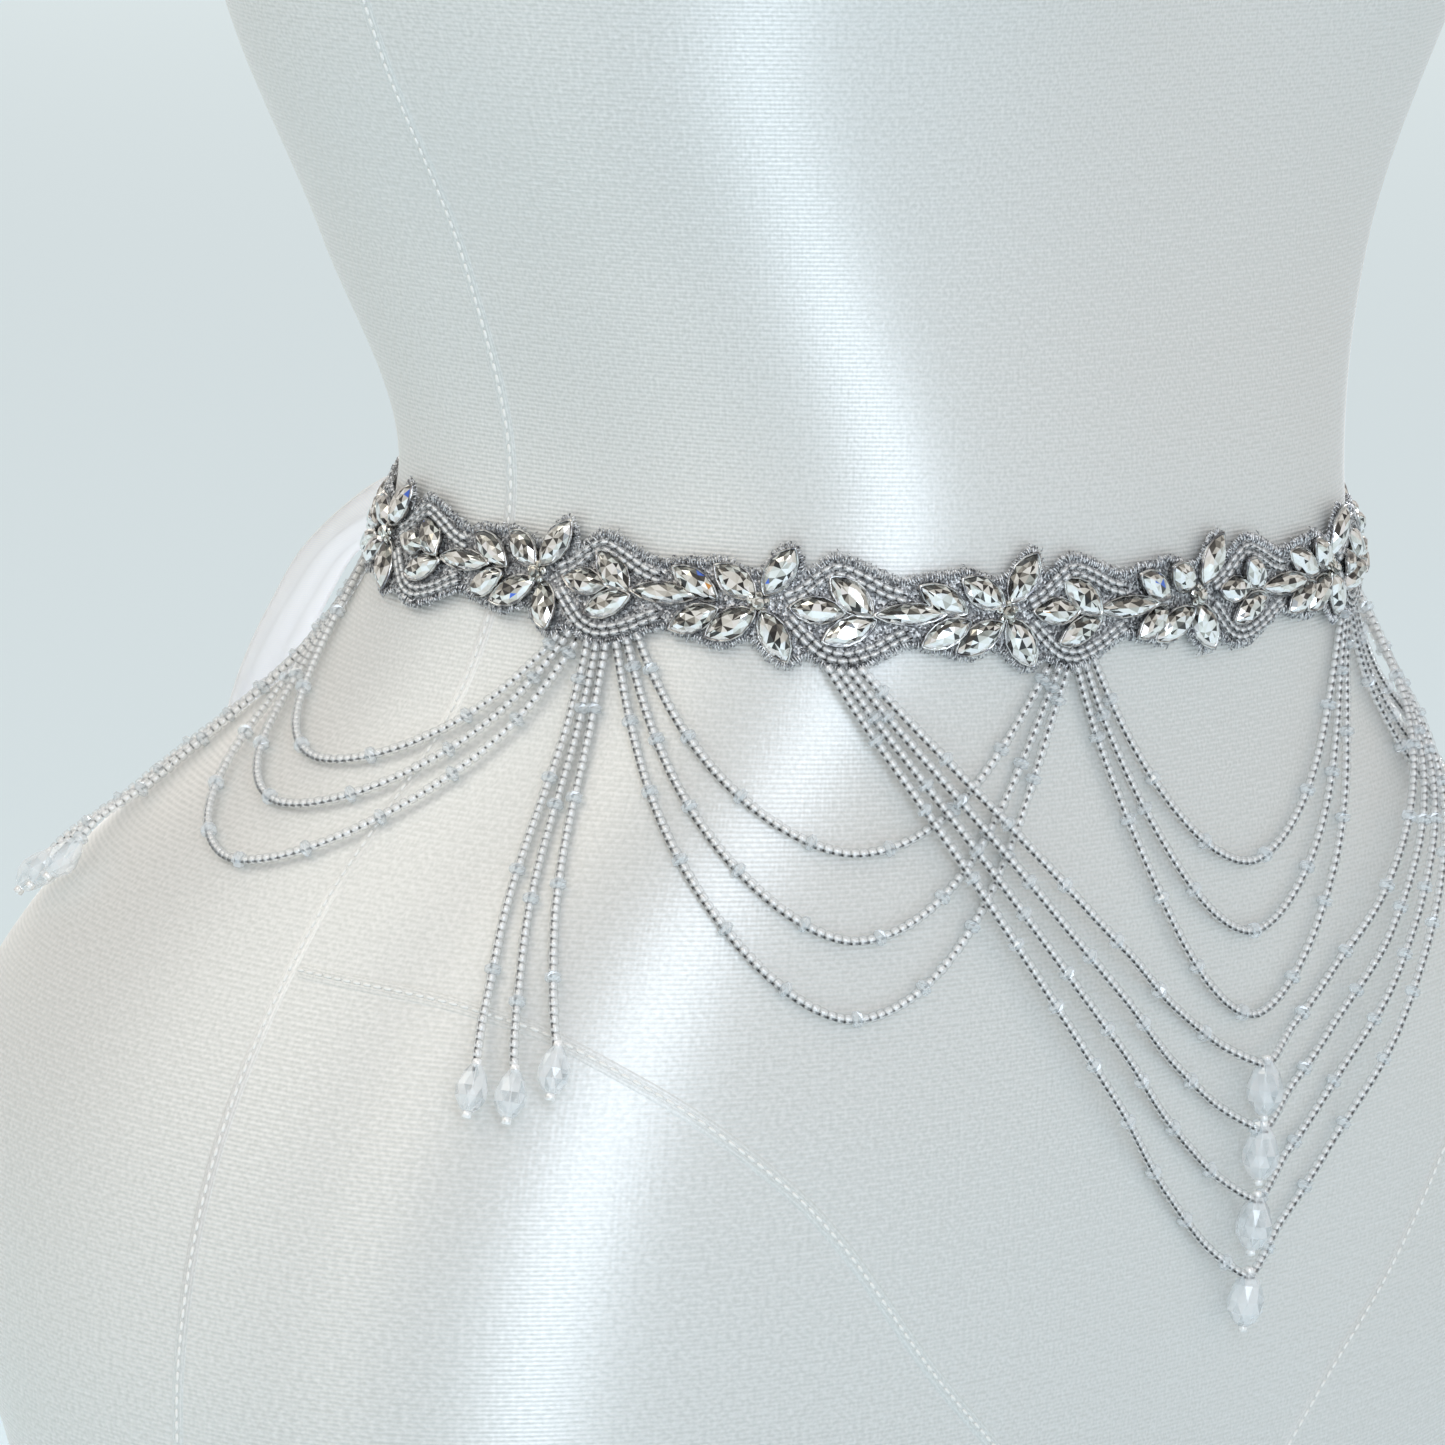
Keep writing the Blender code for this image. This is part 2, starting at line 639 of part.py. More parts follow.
def tassels():
    """Tassels of three straight strands, each ending in a teardrop."""
    for number, row in enumerate(zip(*TASSELS.values()), 1):
        unit = int(row[0])
        tubes = []
        for slot, length, drift in zip(TASSEL_SLOTS, row[1:4], row[4:7]):
            t = np.linspace(0, 1, 61)
            along = anchor_at(unit) + slot * SLOT + (drift * MM - slot * SLOT) * t**DRIFT_POWER
            drop = root(slot) + (length * MM - root(slot)) * t
            lift = soft_step(drop[-1] - DROP_RISE_FROM, drop[-1] - DROP_RISE_TO, drop)
            out = STRAND_OUT + (DROP_OUT - STRAND_OUT) * lift
            path = place(along, -drop, from_root(drop - drop[0], out))
            tubes.append(tube(evenly(path, STRAND_STEP)))
            tubes.append(drop_bead(along[-1], drop[-1]))
        mesh = joined(strip(anchor_at(unit), TASSEL_SLOTS[0], TASSEL_SLOTS[-1]), tubes)
        new_object("tassel_%d" % number, mesh, "beads")


def front_drape():
    """The deep drape: four strands in a V over the swags, each with a teardrop at its point."""
    tubes = []
    for slot, depth in zip(DRAPE_SLOTS, DRAPE_DEPTHS):
        u, along, drop = hanging(DRAPE_FIRST, DRAPE_LAST, slot, -slot, depth, DRAPE_POWER)
        over = soft_step(*DRAPE_OVER, np.abs(u))
        near_point = 1 - soft_step(0, DRAPE_POINT, np.abs(u))
        out = STRAND_OUT + (CROSSING_OUT - STRAND_OUT) * over + (DROP_OUT - STRAND_OUT) * near_point
        tubes.append(hung_tube(along, drop, out))
        tubes.append(drop_bead(along[len(u) // 2], drop.max()))
    left = strip(anchor_at(DRAPE_FIRST), DRAPE_SLOTS[0], DRAPE_SLOTS[-1])
    right = strip(anchor_at(DRAPE_LAST), DRAPE_SLOTS[0], DRAPE_SLOTS[-1])
    new_object("front_drape", joined(left, tubes + [right]), "beads")


def ribbon_end(name, edge, knot_side):
    """A flat length of ribbon on the form, from the applique's end to the knot, gathered as it goes."""
    stations = np.linspace(0, 1, 5)[:, None]
    across = np.linspace(-1, 1, 5)[None, :]
    along = edge + (knot_side - edge) * stations
    half = (RIBBON_WIDTH - RIBBON_GATHER * stations) / 2 * MM
    crinkle = RIBBON_CRINKLE * (1 - np.cos(2 * np.pi * across)) * stations
    grid = place(along, across * half + RIBBON_LEVEL, SKIN_GAP + RIBBON_WALL + crinkle)
    sheet(name, grid)


def sheet(name, grid):
    """A thin wall from a grid of points, given its thickness towards the inside."""
    rows, columns = grid.shape[:2]
    faces = []
    for i in range(rows - 1):
        for j in range(columns - 1):
            k = i * columns + j
            faces.append((k, k + 1, k + columns + 1, k + columns))
    mesh = bpy.data.meshes.new(name)
    mesh.from_pydata(grid.reshape(-1, 3).tolist(), [], faces)
    obj = new_object(name, mesh, "ribbon_satin")
    wall = obj.modifiers.new("wall", "SOLIDIFY")
    wall.thickness = RIBBON_WALL
    wall.offset = 0
    wall.use_even_offset = True
    mesh.shade_smooth()
    return obj


def bow_piece(name, centre, side, route, start_level, lean, stations, slant):
    """A loop or tail of ribbon along its route. Side is -1 on the form's right, +1 on its left."""
    rows = dict(route, run=np.linspace(0, 1, len(route["up"])))
    run = np.linspace(0, 1, stations)
    side_at, out, up, width = [smooth(rows, "run", column, run) * MM for column in route]
    middle = centre + np.stack([side * side_at, out - KNOT[1] / 2, up], -1)
    tangent = np.gradient(middle, axis=0)
    tangent /= np.linalg.norm(tangent, axis=1, keepdims=True)
    turned = soft_step(0, RIBBON_TURN, np.minimum(run, 1 - run) * len(route["up"]))[:, None]
    level = np.array(start_level) * (1 - turned) + np.array([1.0, -side * lean, 0]) * turned
    level -= (level * tangent).sum(1, keepdims=True) * tangent
    level /= np.linalg.norm(level, axis=1, keepdims=True)
    across = np.linspace(-1, 1, 5)
    crown = np.cross(level, tangent) * (RIBBON_CROWN * np.sin(np.pi * run))[:, None]
    grid = middle[:, None] + level[:, None] * (across * width[:, None] / 2)[..., None]
    grid = grid + crown[:, None] * (1 - across**2)[None, :, None]
    grid[-1] += tangent[-1] * (across * slant * MM)[:, None]
    sheet(name, grid)


def bow():
    """The ribbon's knot with its two loops and two tails, and the two ends that join it to the applique."""
    left_edge = flower_at(LAST_UNIT) + END_EDGE["x"].max() * MM + RIBBON_GAP
    right_edge = flower_at(FIRST_UNIT) + START_EDGE["x"].min() * MM - RIBBON_GAP
    middle = (left_edge + right_edge + BELT_LENGTH) / 2
    reach = KNOT[0] / 2 + KNOT_CLEARANCE
    ribbon_end("ribbon_left", left_edge, middle - reach)
    ribbon_end("ribbon_right", right_edge, middle - BELT_LENGTH + reach)
    centre = place(middle, RIBBON_LEVEL, KNOT[1] / 2 + SKIN_GAP + KNOT_CLEARANCE)
    mesh = bpy.data.meshes.new("bow_knot")
    work = bmesh.new()
    bmesh.ops.create_cube(work, size=1)
    bmesh.ops.scale(work, vec=KNOT, verts=work.verts)
    bmesh.ops.translate(work, vec=centre, verts=work.verts)
    work.to_mesh(mesh)
    work.free()
    knot = new_object("bow_knot", mesh, "ribbon_satin")
    bevel = knot.modifiers.new("round", "BEVEL")
    bevel.width = KNOT_ROUND
    bevel.segments = 3
    mesh.shade_smooth()
    bow_piece("bow_loop_right", centre, -1, LOOP_RIGHT, (0, 0, -1), LOOP_LEAN, 27, 0)
    bow_piece("bow_loop_left", centre, 1, LOOP_LEFT, (0, 0, 1), LOOP_LEAN, 27, 0)
    bow_piece("bow_tail_right", centre, -1, TAIL_RIGHT, (1, 0, 0), 0, 17, TAIL_SLANT)
    bow_piece("bow_tail_left", centre, 1, TAIL_LEFT, (1, 0, 0), 0, 17, -TAIL_SLANT)


for old in list(bpy.data.objects):
    bpy.data.objects.remove(old)
PARTS = bpy.data.collections.new("bridal_sash_on_form")
HELPERS = bpy.data.collections.new("helpers")
bpy.context.scene.collection.children.link(PARTS)
bpy.context.scene.collection.children.link(HELPERS)

dress_form()
applique()
swags()
tassels()
front_drape()
bow()
for part in PARTS.objects:
    print(part.name)
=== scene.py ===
# %% [markdown]
# # A jewelled bridal sash on a satin display form
# The sash is a belt of net applique covered with pointed crystals and seed beads. Strands of
# silver-lined beads hang from it in swags, tassels and one deep drape, and a satin ribbon ties it
# behind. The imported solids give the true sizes. This script dresses them: every piece here is worked
# out from the same sizes as the solids, so it lies where its solid lies.

import bpy
import numpy as np
from mathutils import Matrix, Vector
from mathutils.geometry import delaunay_2d_cdt


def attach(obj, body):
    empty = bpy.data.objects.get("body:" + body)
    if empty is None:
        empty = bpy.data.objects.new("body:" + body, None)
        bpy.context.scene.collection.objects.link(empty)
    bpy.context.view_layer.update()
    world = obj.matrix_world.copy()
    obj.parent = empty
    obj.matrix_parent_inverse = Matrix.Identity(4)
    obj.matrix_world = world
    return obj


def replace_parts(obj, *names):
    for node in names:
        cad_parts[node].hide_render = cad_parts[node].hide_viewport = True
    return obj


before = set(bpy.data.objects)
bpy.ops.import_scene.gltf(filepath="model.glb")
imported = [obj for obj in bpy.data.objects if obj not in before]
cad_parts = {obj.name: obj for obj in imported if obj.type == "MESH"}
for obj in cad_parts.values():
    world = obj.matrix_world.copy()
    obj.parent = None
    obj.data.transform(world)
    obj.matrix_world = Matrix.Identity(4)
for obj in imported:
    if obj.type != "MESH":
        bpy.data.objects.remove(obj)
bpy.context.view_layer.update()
MM = 0.001
CM = 0.01
chance = np.random.default_rng(7)

# %% [markdown]
# ## The form's shape
# A display form is a smooth body without edges. It could be sculpted, or lofted through a few sections.
# Here each section is a rounded oval whose width and depths come from a table, so a point on the form
# is a function of two numbers, the angle round it and the height. Everything that is worn can then be
# placed by the same function.

# %% Sections of the form
def table(columns, *rows):
    """A short table: one named array for each column."""
    return dict(zip(columns.split(), np.array(rows, float).T))


WAIST = 28.5 * CM
POWER = 2.49
SECTIONS = table(
    "height width front back",
    (-28.5, 17.0, 9.2, 10.4), (-22, 19.2, 10.1, 12.3), (-17, 19.7, 10.6, 13.7), (-12, 18.4, 10.9, 13.9),
    (-8, 15.8, 10.7, 12.4), (-4, 11.9, 10.2, 9.0), (0, 10.4, 10.3, 7.5), (5, 11.8, 9.8, 9.4),
    (10, 14.6, 9.8, 10.3), (16, 16.8, 9.9, 10.3), (21, 17.3, 9.8, 10.1), (27, 17.0, 9.2, 9.8),
    (32, 17.2, 8.0, 9.1), (35, 16.4, 6.9, 8.0), (37, 13.7, 6.2, 7.2), (38.6, 9.9, 5.8, 6.6),
    (40.2, 7.2, 5.4, 6.2), (42, 6.1, 5.2, 6.0), (46, 5.7, 5.1, 5.9),
)
SWELLINGS = table("angle height out angle_spread height_spread", (38, 17.5, 3.6, 26, 5.5),
                  (142, -13.5, 2.2, 26, 7))


def smooth(rows, key, column, at):
    """A smooth curve through one column: cubic pieces whose slopes are averages of their neighbours'."""
    x, y = rows[key], rows[column]
    step = np.diff(x)
    rise = np.diff(y) / step
    inner = (rise[:-1] * step[1:] + rise[1:] * step[:-1]) / (step[1:] + step[:-1])
    slope = np.concatenate([rise[:1], inner, rise[-1:]])
    i = np.clip(np.searchsorted(x, at) - 1, 0, len(x) - 2)
    u = (np.clip(at, x[0], x[-1]) - x[i]) / step[i]
    start = (2 * u**3 - 3 * u**2 + 1) * y[i] + (u**3 - 2 * u**2 + u) * step[i] * slope[i]
    return start + (3 * u**2 - 2 * u**3) * y[i + 1] + (u**3 - u**2) * step[i] * slope[i + 1]


def soft_step(low, high, at):
    """0 below low, 1 above high, and a smooth rise between."""
    u = np.clip((at - low) / (high - low), 0, 1)
    return u * u * (3 - 2 * u)


def bare(angle, height):
    """Points on the form: the radius of a rounded oval, plus soft swellings that fade with distance."""
    level = (height - WAIST) / CM
    width = smooth(SECTIONS, "height", "width", level)
    front, back = (smooth(SECTIONS, "height", side, level) for side in ("front", "back"))
    depth = np.where(np.cos(angle) > 0, front, back)
    reach = (np.abs(np.cos(angle) / depth) ** POWER + np.abs(np.sin(angle) / width) ** POWER) ** (-1 / POWER)
    for turn, rise, out, turn_spread, rise_spread in zip(*SWELLINGS.values()):
        for side in (-1, 1):
            away = (angle - side * np.radians(turn) + np.pi) % (2 * np.pi) - np.pi
            fade = (away / np.radians(turn_spread)) ** 2 + ((level - rise) / rise_spread) ** 2
            reach = reach + out * np.exp(-fade)
    return np.stack([reach * CM * np.sin(angle), -reach * CM * np.cos(angle), height], -1)


def surface(angle, height, out=0.0):
    """Points at a distance out from the form, along its normal: the cross product of its two slopes."""
    angle, height, out = np.broadcast_arrays(angle, height, out)
    across = bare(angle + 1e-3, height) - bare(angle - 1e-3, height)
    upward = bare(angle, height + 0.5 * MM) - bare(angle, height - 0.5 * MM)
    normal = np.cross(across, upward)
    return bare(angle, height) + normal / np.linalg.norm(normal, axis=-1, keepdims=True) * out[..., None]


print("sections:", len(SECTIONS["height"]), "swellings:", 2 * len(SWELLINGS["angle"]))

# %% [markdown]
# ## Distances along the belt
# A maker measures a sash along the belt line, and a hanging strand down from it. So the form is
# unrolled once into a table: arc length round the belt line, and climb up or down the form from it.
# After that `place(along, up, out)` puts any flat layout, in metres, onto the form.

# %% The belt line and the unrolled form
BELT_HEIGHT = -1.2 * CM
BELT_DIP = 0.0325
TURNS = np.linspace(-np.pi, np.pi, 361)
RISES = np.linspace(WAIST - 26 * CM, WAIST + 6 * CM, 161)
UPS = np.linspace(-25 * CM, 6 * CM, 311)
BELT_LINE = WAIST + BELT_HEIGHT + BELT_DIP * surface(TURNS, WAIST + BELT_HEIGHT)[:, 1]
BELT_LOOP = surface(TURNS, BELT_LINE, 3 * MM)
BELT_ARC = np.concatenate([[0], np.cumsum(np.linalg.norm(np.diff(BELT_LOOP, axis=0), axis=1))])
BELT_ARC -= np.interp(0, TURNS, BELT_ARC)
BELT_LENGTH = BELT_ARC[-1] - BELT_ARC[0]
PROFILES = surface(TURNS[:, None], RISES[None, :])
CLIMB = np.concatenate([0 * BELT_LINE[:, None],
                        np.cumsum(np.linalg.norm(np.diff(PROFILES, axis=1), axis=2), axis=1)], 1)
CLIMB -= np.array([np.interp(level, RISES, climb) for level, climb in zip(BELT_LINE, CLIMB)])[:, None]
HEIGHTS = np.array([np.interp(UPS, climb, RISES) for climb in CLIMB])


def place(along, up, out):
    """Points on the form: the height is looked up in the unrolled table, halfway values mixed both ways."""
    along, up, out = np.broadcast_arrays(np.asarray(along, float), up, out)
    around = (along - BELT_ARC[0]) % BELT_LENGTH + BELT_ARC[0]
    angle = np.interp(around, BELT_ARC, TURNS)
    column = np.clip((angle + np.pi) / (TURNS[1] - TURNS[0]), 0, len(TURNS) - 1.001)
    row = np.clip((up - UPS[0]) / (UPS[1] - UPS[0]), 0, len(UPS) - 1.001)
    i, j = column.astype(int), row.astype(int)
    u, v = column - i, row - j
    low = HEIGHTS[i, j] * (1 - u) + HEIGHTS[i + 1, j] * u
    high = HEIGHTS[i, j + 1] * (1 - u) + HEIGHTS[i + 1, j + 1] * u
    return surface(angle, low * (1 - v) + high * v, out)


def axes_at(along, up, turn=0.0):
    """Three unit axes at points on the form: along the belt, up, and out, the first two turned by an angle."""
    here = place(along, up, 0 * MM)
    out = place(along, up, 1 * MM) - here
    east = place(along + 1 * MM, up, 0 * MM) - here
    out /= np.linalg.norm(out, axis=-1, keepdims=True)
    east -= (east * out).sum(-1, keepdims=True) * out
    east /= np.linalg.norm(east, axis=-1, keepdims=True)
    north = np.cross(out, east)
    cos, sin = np.cos(turn)[..., None], np.sin(turn)[..., None]
    return np.stack([east * cos + north * sin, north * cos - east * sin, out], -2)


print("belt line: %.1f cm round" % (BELT_LENGTH / CM))

# %% [markdown]
# ## Meshes and materials
# Three helpers are used for all pieces. One puts arrays of points and faces into a mesh, one lays a
# grid of points out as a sheet or a tube, and one copies a small shape to many places at once, which is
# how thousands of beads are made. A material is a short list of nodes, so one helper adds any node.

# %% Helpers for meshes
def make_piece(name, points, face_groups, materials, uv=None, painted_facet_light=None, flat=False):
    """A piece from its points and from groups of faces, each an array with one row of corners per face."""
    corners = np.concatenate([group.ravel() for group in face_groups]).astype(np.int32)
    sizes = np.concatenate([np.full(len(group), group.shape[1]) for group in face_groups])
    starts = np.concatenate([[0], np.cumsum(sizes)[:-1]]).astype(np.int32)
    mesh = bpy.data.meshes.new(name)
    mesh.vertices.add(len(points))
    mesh.vertices.foreach_set("co", np.ascontiguousarray(points, np.float32).ravel())
    mesh.loops.add(len(corners))
    mesh.loops.foreach_set("vertex_index", corners)
    mesh.polygons.add(len(sizes))
    mesh.polygons.foreach_set("loop_start", starts)
    mesh.update(calc_edges=True)
    mesh.polygons.foreach_set("use_smooth", np.full(len(sizes), not flat))
    if uv is not None:
        layer = mesh.uv_layers.new(name="cloth")
        layer.data.foreach_set("uv", np.ascontiguousarray(uv, np.float32).ravel())
    if painted_facet_light is not None:
        values = mesh.attributes.new("painted_facet_light", "FLOAT", "FACE")
        values.data.foreach_set("value", painted_facet_light.astype(np.float32))
    for material in materials:
        mesh.materials.append(material)
    mesh.validate()
    piece = bpy.data.objects.new(name, mesh)
    bpy.context.scene.collection.objects.link(piece)
    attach(piece, "root")
    return piece


def grid_faces(rows, columns, closed=False):
    """The four corners of each face of a grid; in a closed one the last column joins the first."""
    wide = columns if closed else columns - 1
    i, j = np.meshgrid(np.arange(rows - 1), np.arange(wide), indexing="ij")
    k = (j + 1) % columns
    low, high = i * columns, (i + 1) * columns
    return np.stack([low + j, low + k, high + k, high + j], -1).reshape(-1, 4)


def grid_uv(rows, columns, across, upward, closed=False):
    """Each face corner's place on the flat cloth, in metres: columns run across and rows upward."""
    wide = columns if closed else columns - 1
    i, j = np.meshgrid(np.arange(rows - 1), np.arange(wide), indexing="ij")
    u = np.stack([j, j + 1, j + 1, j], -1) / wide * across
    v = np.stack([i, i, i + 1, i + 1], -1) / (rows - 1) * upward
    return np.stack([u, v], -1).reshape(-1, 2)


def turned_shape(profile, sides, twist=0.0):
    """A small turned shape: rings of a profile (height, radius) round the z axis, each turned by twist."""
    z, r = np.array(profile, float).T
    around = 2 * np.pi * np.arange(sides)[None, :] / sides + twist * np.arange(len(z))[:, None]
    points = np.stack([r[:, None] * np.cos(around), r[:, None] * np.sin(around), z[:, None] + 0 * around], -1)
    ends = np.array([np.arange(sides)[::-1], (len(z) - 1) * sides + np.arange(sides)])
    return points.reshape(-1, 3), [grid_faces(len(z), sides, True), ends]


def copies(shape, places, axes, sizes):
    """Many copies of a shape: each point is its place plus its coordinates, sized, along three axes."""
    points, groups = shape
    sized = points[None] * sizes[:, None, :]
    world = places[:, None, :] + np.einsum("npk,nkw->npw", sized, axes)
    shift = np.arange(len(places))[:, None, None] * len(points)
    return world.reshape(-1, 3), [(group[None] + shift).reshape(-1, group.shape[1]) for group in groups]


def gather(parts):
    """One set of points and face groups from several."""
    starts = np.cumsum([0] + [len(points) for points, groups in parts])
    groups = [group + start for (points, part), start in zip(parts, starts) for group in part]
    return np.concatenate([points for points, part in parts]), groups


def threads(paths, radius):
    """Thin three-sided threads: a triangle carried along each path, with both its ends closed."""
    count, steps = paths.shape[:2]
    run = np.gradient(paths, axis=1)
    run /= np.linalg.norm(run, axis=-1, keepdims=True)
    side = np.cross(run, np.array([0.31, 0.52, 0.79]))
    side /= np.linalg.norm(side, axis=-1, keepdims=True)
    lift = np.cross(run, side)
    turn = 2 * np.pi * np.arange(3) / 3
    ring = side[:, :, None] * np.cos(turn)[:, None] + lift[:, :, None] * np.sin(turn)[:, None]
    points = (paths[:, :, None] + ring * radius).reshape(-1, 3)
    shift = (np.arange(count) * steps * 3)[:, None, None]
    walls = (grid_faces(steps, 3, True)[None] + shift).reshape(-1, 4)
    caps = (np.array([[2, 1, 0], [steps * 3 - 3, steps * 3 - 2, steps * 3 - 1]])[None] + shift).reshape(-1, 3)
    return points, [walls, caps]


print("a grid of 3 by 4 points has", len(grid_faces(3, 4)), "faces, and closed", len(grid_faces(3, 4, True)))

# %% Helpers for materials
def linear(code):
    """A hex colour as linear light: each channel is undone from its screen curve."""
    screen = np.array([int(code[i:i + 2], 16) / 255 for i in (1, 3, 5)])
    return (*np.where(screen <= 0.04045, screen / 12.92, ((screen + 0.055) / 1.055) ** 2.4), 1)


def new_material(name, colour, **values):
    """A material with its shader's colour and values set; returns it with its node tree and shader."""
    material = bpy.data.materials.new(name)
    material.use_nodes = True
    tree = material.node_tree
    shader = tree.nodes["Principled BSDF"]
    shader.inputs["Base Color"].default_value = linear(colour)
    for key, value in values.items():
        shader.inputs[key.replace("_", " ")].default_value = value
    return material, tree, shader


def add(tree, kind, links=(), **settings):
    """Adds a node: settings by name, sockets by number or name, links as (socket, other node's output)."""
    made = tree.nodes.new(kind)
    for key, value in settings.items():
        if key == "inputs":
            for socket, amount in value.items():
                made.inputs[socket].default_value = amount
        else:
            setattr(made, key, value)
    for socket, output in links:
        tree.links.new(output, made.inputs[socket])
    return made


def ramp(tree, source, *stops):
    """A colour ramp from stops of (position, hex colour)."""
    made = add(tree, "ShaderNodeValToRGB", [("Fac", source)])
    while len(made.color_ramp.elements) < len(stops):
        made.color_ramp.elements.new(0.5)
    for element, (position, colour) in zip(made.color_ramp.elements, stops):
        element.position = position
        element.color = linear(colour)
    return made


print("mid grey as light:", [round(float(v), 3) for v in linear("#808080")])

# %% [markdown]
# ## The camera
# The picture was taken with a long lens from a little above, from the form's right-hand front. The
# camera's place was found by matching the belt's flowers and the form's outline, so it is written here
# as plain numbers: an angle round the form, an angle above it, a distance and a slight roll.

# %% Camera
AZIMUTH, ELEVATION, ROLL = np.radians((47.696, 9.618, 1.3716))
LENS, DISTANCE, AIM_RIGHT, AIM_ABOVE = 206.2, 181.514 * CM, -2.435 * CM, -5.745 * CM
level = np.array([-np.sin(AZIMUTH), -np.cos(AZIMUTH), 0])
back = level * np.cos(ELEVATION) + np.array([0, 0, np.sin(ELEVATION)])
right = np.array([np.cos(AZIMUTH), -np.sin(AZIMUTH), 0])
above = np.cross(back, right)
target = np.array([0, 0, WAIST]) + right * AIM_RIGHT + above * AIM_ABOVE
camera = bpy.data.objects.new("camera", bpy.data.cameras.new("camera"))
camera.data.sensor_width = 36
camera.data.lens = LENS
rolled_right = right * np.cos(ROLL) + above * np.sin(ROLL)
rolled_above = above * np.cos(ROLL) - right * np.sin(ROLL)
turned = np.stack([rolled_right, rolled_above, back], 1)
camera.matrix_world = Matrix(turned.tolist()).to_4x4()
camera.location = Vector(target + back * DISTANCE)
bpy.context.scene.collection.objects.link(camera)
bpy.context.scene.camera = camera
print("camera at", [round(v, 3) for v in camera.location])

# %% [markdown]
# ## Satin cover
# The form is covered in a shiny white jersey: polyester satin with fine ribs that run level round the
# body. Its threads reflect light along them, so highlights are long and soft and break up into
# tiny sparks. The ribs could be modelled, but there are hundreds, so they are a bump: one wave up the
# cloth for the ribs and one across it for the stitches.

# %% Satin materials
RIB = 0.9 * MM
RIBBON_RIB, RIBBON_STITCH = 0.5 * MM, 0.35 * MM
# How strong the stitches and the grain are beside the ribs, whose strength is 1
STITCH_WEIGHT, GRAIN_WEIGHT = 0.12, 1.6


def woven(tree, shader, rib, stitch, strength, depth):
    """Ribs and stitches as a bump: two waves on the flat cloth, rib and stitch metres apart, and a grain."""
    flat = add(tree, "ShaderNodeUVMap", uv_map="cloth")
    parts = add(tree, "ShaderNodeSeparateXYZ", [("Vector", flat.outputs["UV"])])
    waves = []
    for socket, pitch in (("Y", rib), ("X", stitch)):
        turn = add(tree, "ShaderNodeMath", [(0, parts.outputs[socket])], operation="MULTIPLY",
                   inputs={1: 2 * np.pi / pitch})
        waves.append(add(tree, "ShaderNodeMath", [(0, turn.outputs[0])], operation="SINE"))
    grain = add(tree, "ShaderNodeTexNoise", [("Vector", flat.outputs["UV"])],
                inputs={"Scale": 900, "Detail": 2})
    both = add(tree, "ShaderNodeMath", [(0, waves[1].outputs[0]), (2, waves[0].outputs[0])],
               operation="MULTIPLY_ADD", inputs={1: STITCH_WEIGHT})
    rough = add(tree, "ShaderNodeMath", [(0, grain.outputs["Fac"]), (2, both.outputs[0])],
                operation="MULTIPLY_ADD", inputs={1: GRAIN_WEIGHT})
    bump = add(tree, "ShaderNodeBump", [("Height", rough.outputs[0])],
               inputs={"Strength": strength, "Distance": depth})
    tree.links.new(bump.outputs["Normal"], shader.inputs["Normal"])
    return flat, both


# Polyester satin jersey, knitted: pale pearl, its shine stretched up and down by its level ribs.
# The real ribs are about 0.6 mm apart, too fine to show, so they are drawn about 0.9 mm apart
satin_jersey, tree, shader = new_material(
    "satin_jersey_knitted", "#e4e4de", Metallic=0.42, Roughness=0.47, Anisotropic=0.88,
    Anisotropic_Rotation=0.25, Sheen_Weight=0.12, Sheen_Roughness=0.4)
flat, ribs = woven(tree, shader, RIB, RIB, 0.4, 0.1 * MM)
grain = add(tree, "ShaderNodeTexNoise", [("Vector", flat.outputs["UV"])],
            inputs={"Scale": 1100, "Detail": 2})
# Painted shade: the colour follows the rib waves, darker in their troughs, plus a random grain
rib_shade_and_grain = add(tree, "ShaderNodeMath", [(0, ribs.outputs[0]), (2, grain.outputs["Fac"])],
            operation="MULTIPLY_ADD", inputs={1: 0.09})
colour = ramp(tree, rib_shade_and_grain.outputs[0], (0.3, "#dddeda"), (0.7, "#f0f0ed"))
tree.links.new(colour.outputs["Color"], shader.inputs["Base Color"])
around = add(tree, "ShaderNodeTangent", direction_type="UV_MAP", uv_map="cloth")
tree.links.new(around.outputs["Tangent"], shader.inputs["Tangent"])

# Polyester satin ribbon, woven: whiter and smoother, with threads too fine to see one by one
satin_ribbon, tree, shader = new_material(
    "satin_ribbon_woven", "#f8fbff", Roughness=0.33, Sheen_Weight=0.4, Subsurface_Weight=0.8,
    Subsurface_Scale=2 * MM)
shader.inputs["Subsurface Radius"].default_value = (1, 1, 1)
flat, ribs = woven(tree, shader, RIBBON_RIB, RIBBON_STITCH, 0.12, 0.03 * MM)
# Painted shade: the ribbon is a little darker in the troughs of its rib waves
colour = ramp(tree, ribs.outputs[0], (0.0, "#f5f9ff"), (1.0, "#fcfeff"))
tree.links.new(colour.outputs["Color"], shader.inputs["Base Color"])
print("satin: ribs %.1f mm on the form, ribbon threads %.2f mm" % (RIB / MM, RIBBON_STITCH / MM))

# %% [markdown]
# The cover is one smooth surface round the form, finer than its solid. It closes over the base and the
# neck in a few narrowing rings.

# %% Form cover
COLUMNS, RINGS = 240, 280
COVER_ROUND, COVER_TALL = 0.85, 0.75
angles = np.linspace(-np.pi, np.pi, COLUMNS, endpoint=False)
levels = WAIST + np.linspace(-28.35, 46, RINGS) * CM
rings = surface(angles[None, :], levels[:, None])
base = [rings[:1] * (share, share, 0) + (0, 0, rise * MM)
        for share, rise in ((0.02, 0), (0.97, 0), (0.99, 0.4))]
neck = [rings[-1:] * (share, share, 1) + (0, 0, rise * MM)
        for share, rise in ((0.985, 3), (0.93, 7), (0.8, 9.6), (0.6, 11), (0.3, 11.2), (0.02, 11.2))]
points = np.concatenate(base + [rings] + neck)
rows, columns = points.shape[:2]
ends = np.array([np.arange(columns)[::-1], (rows - 1) * columns + np.arange(columns)])
faces = grid_faces(rows, columns, True)
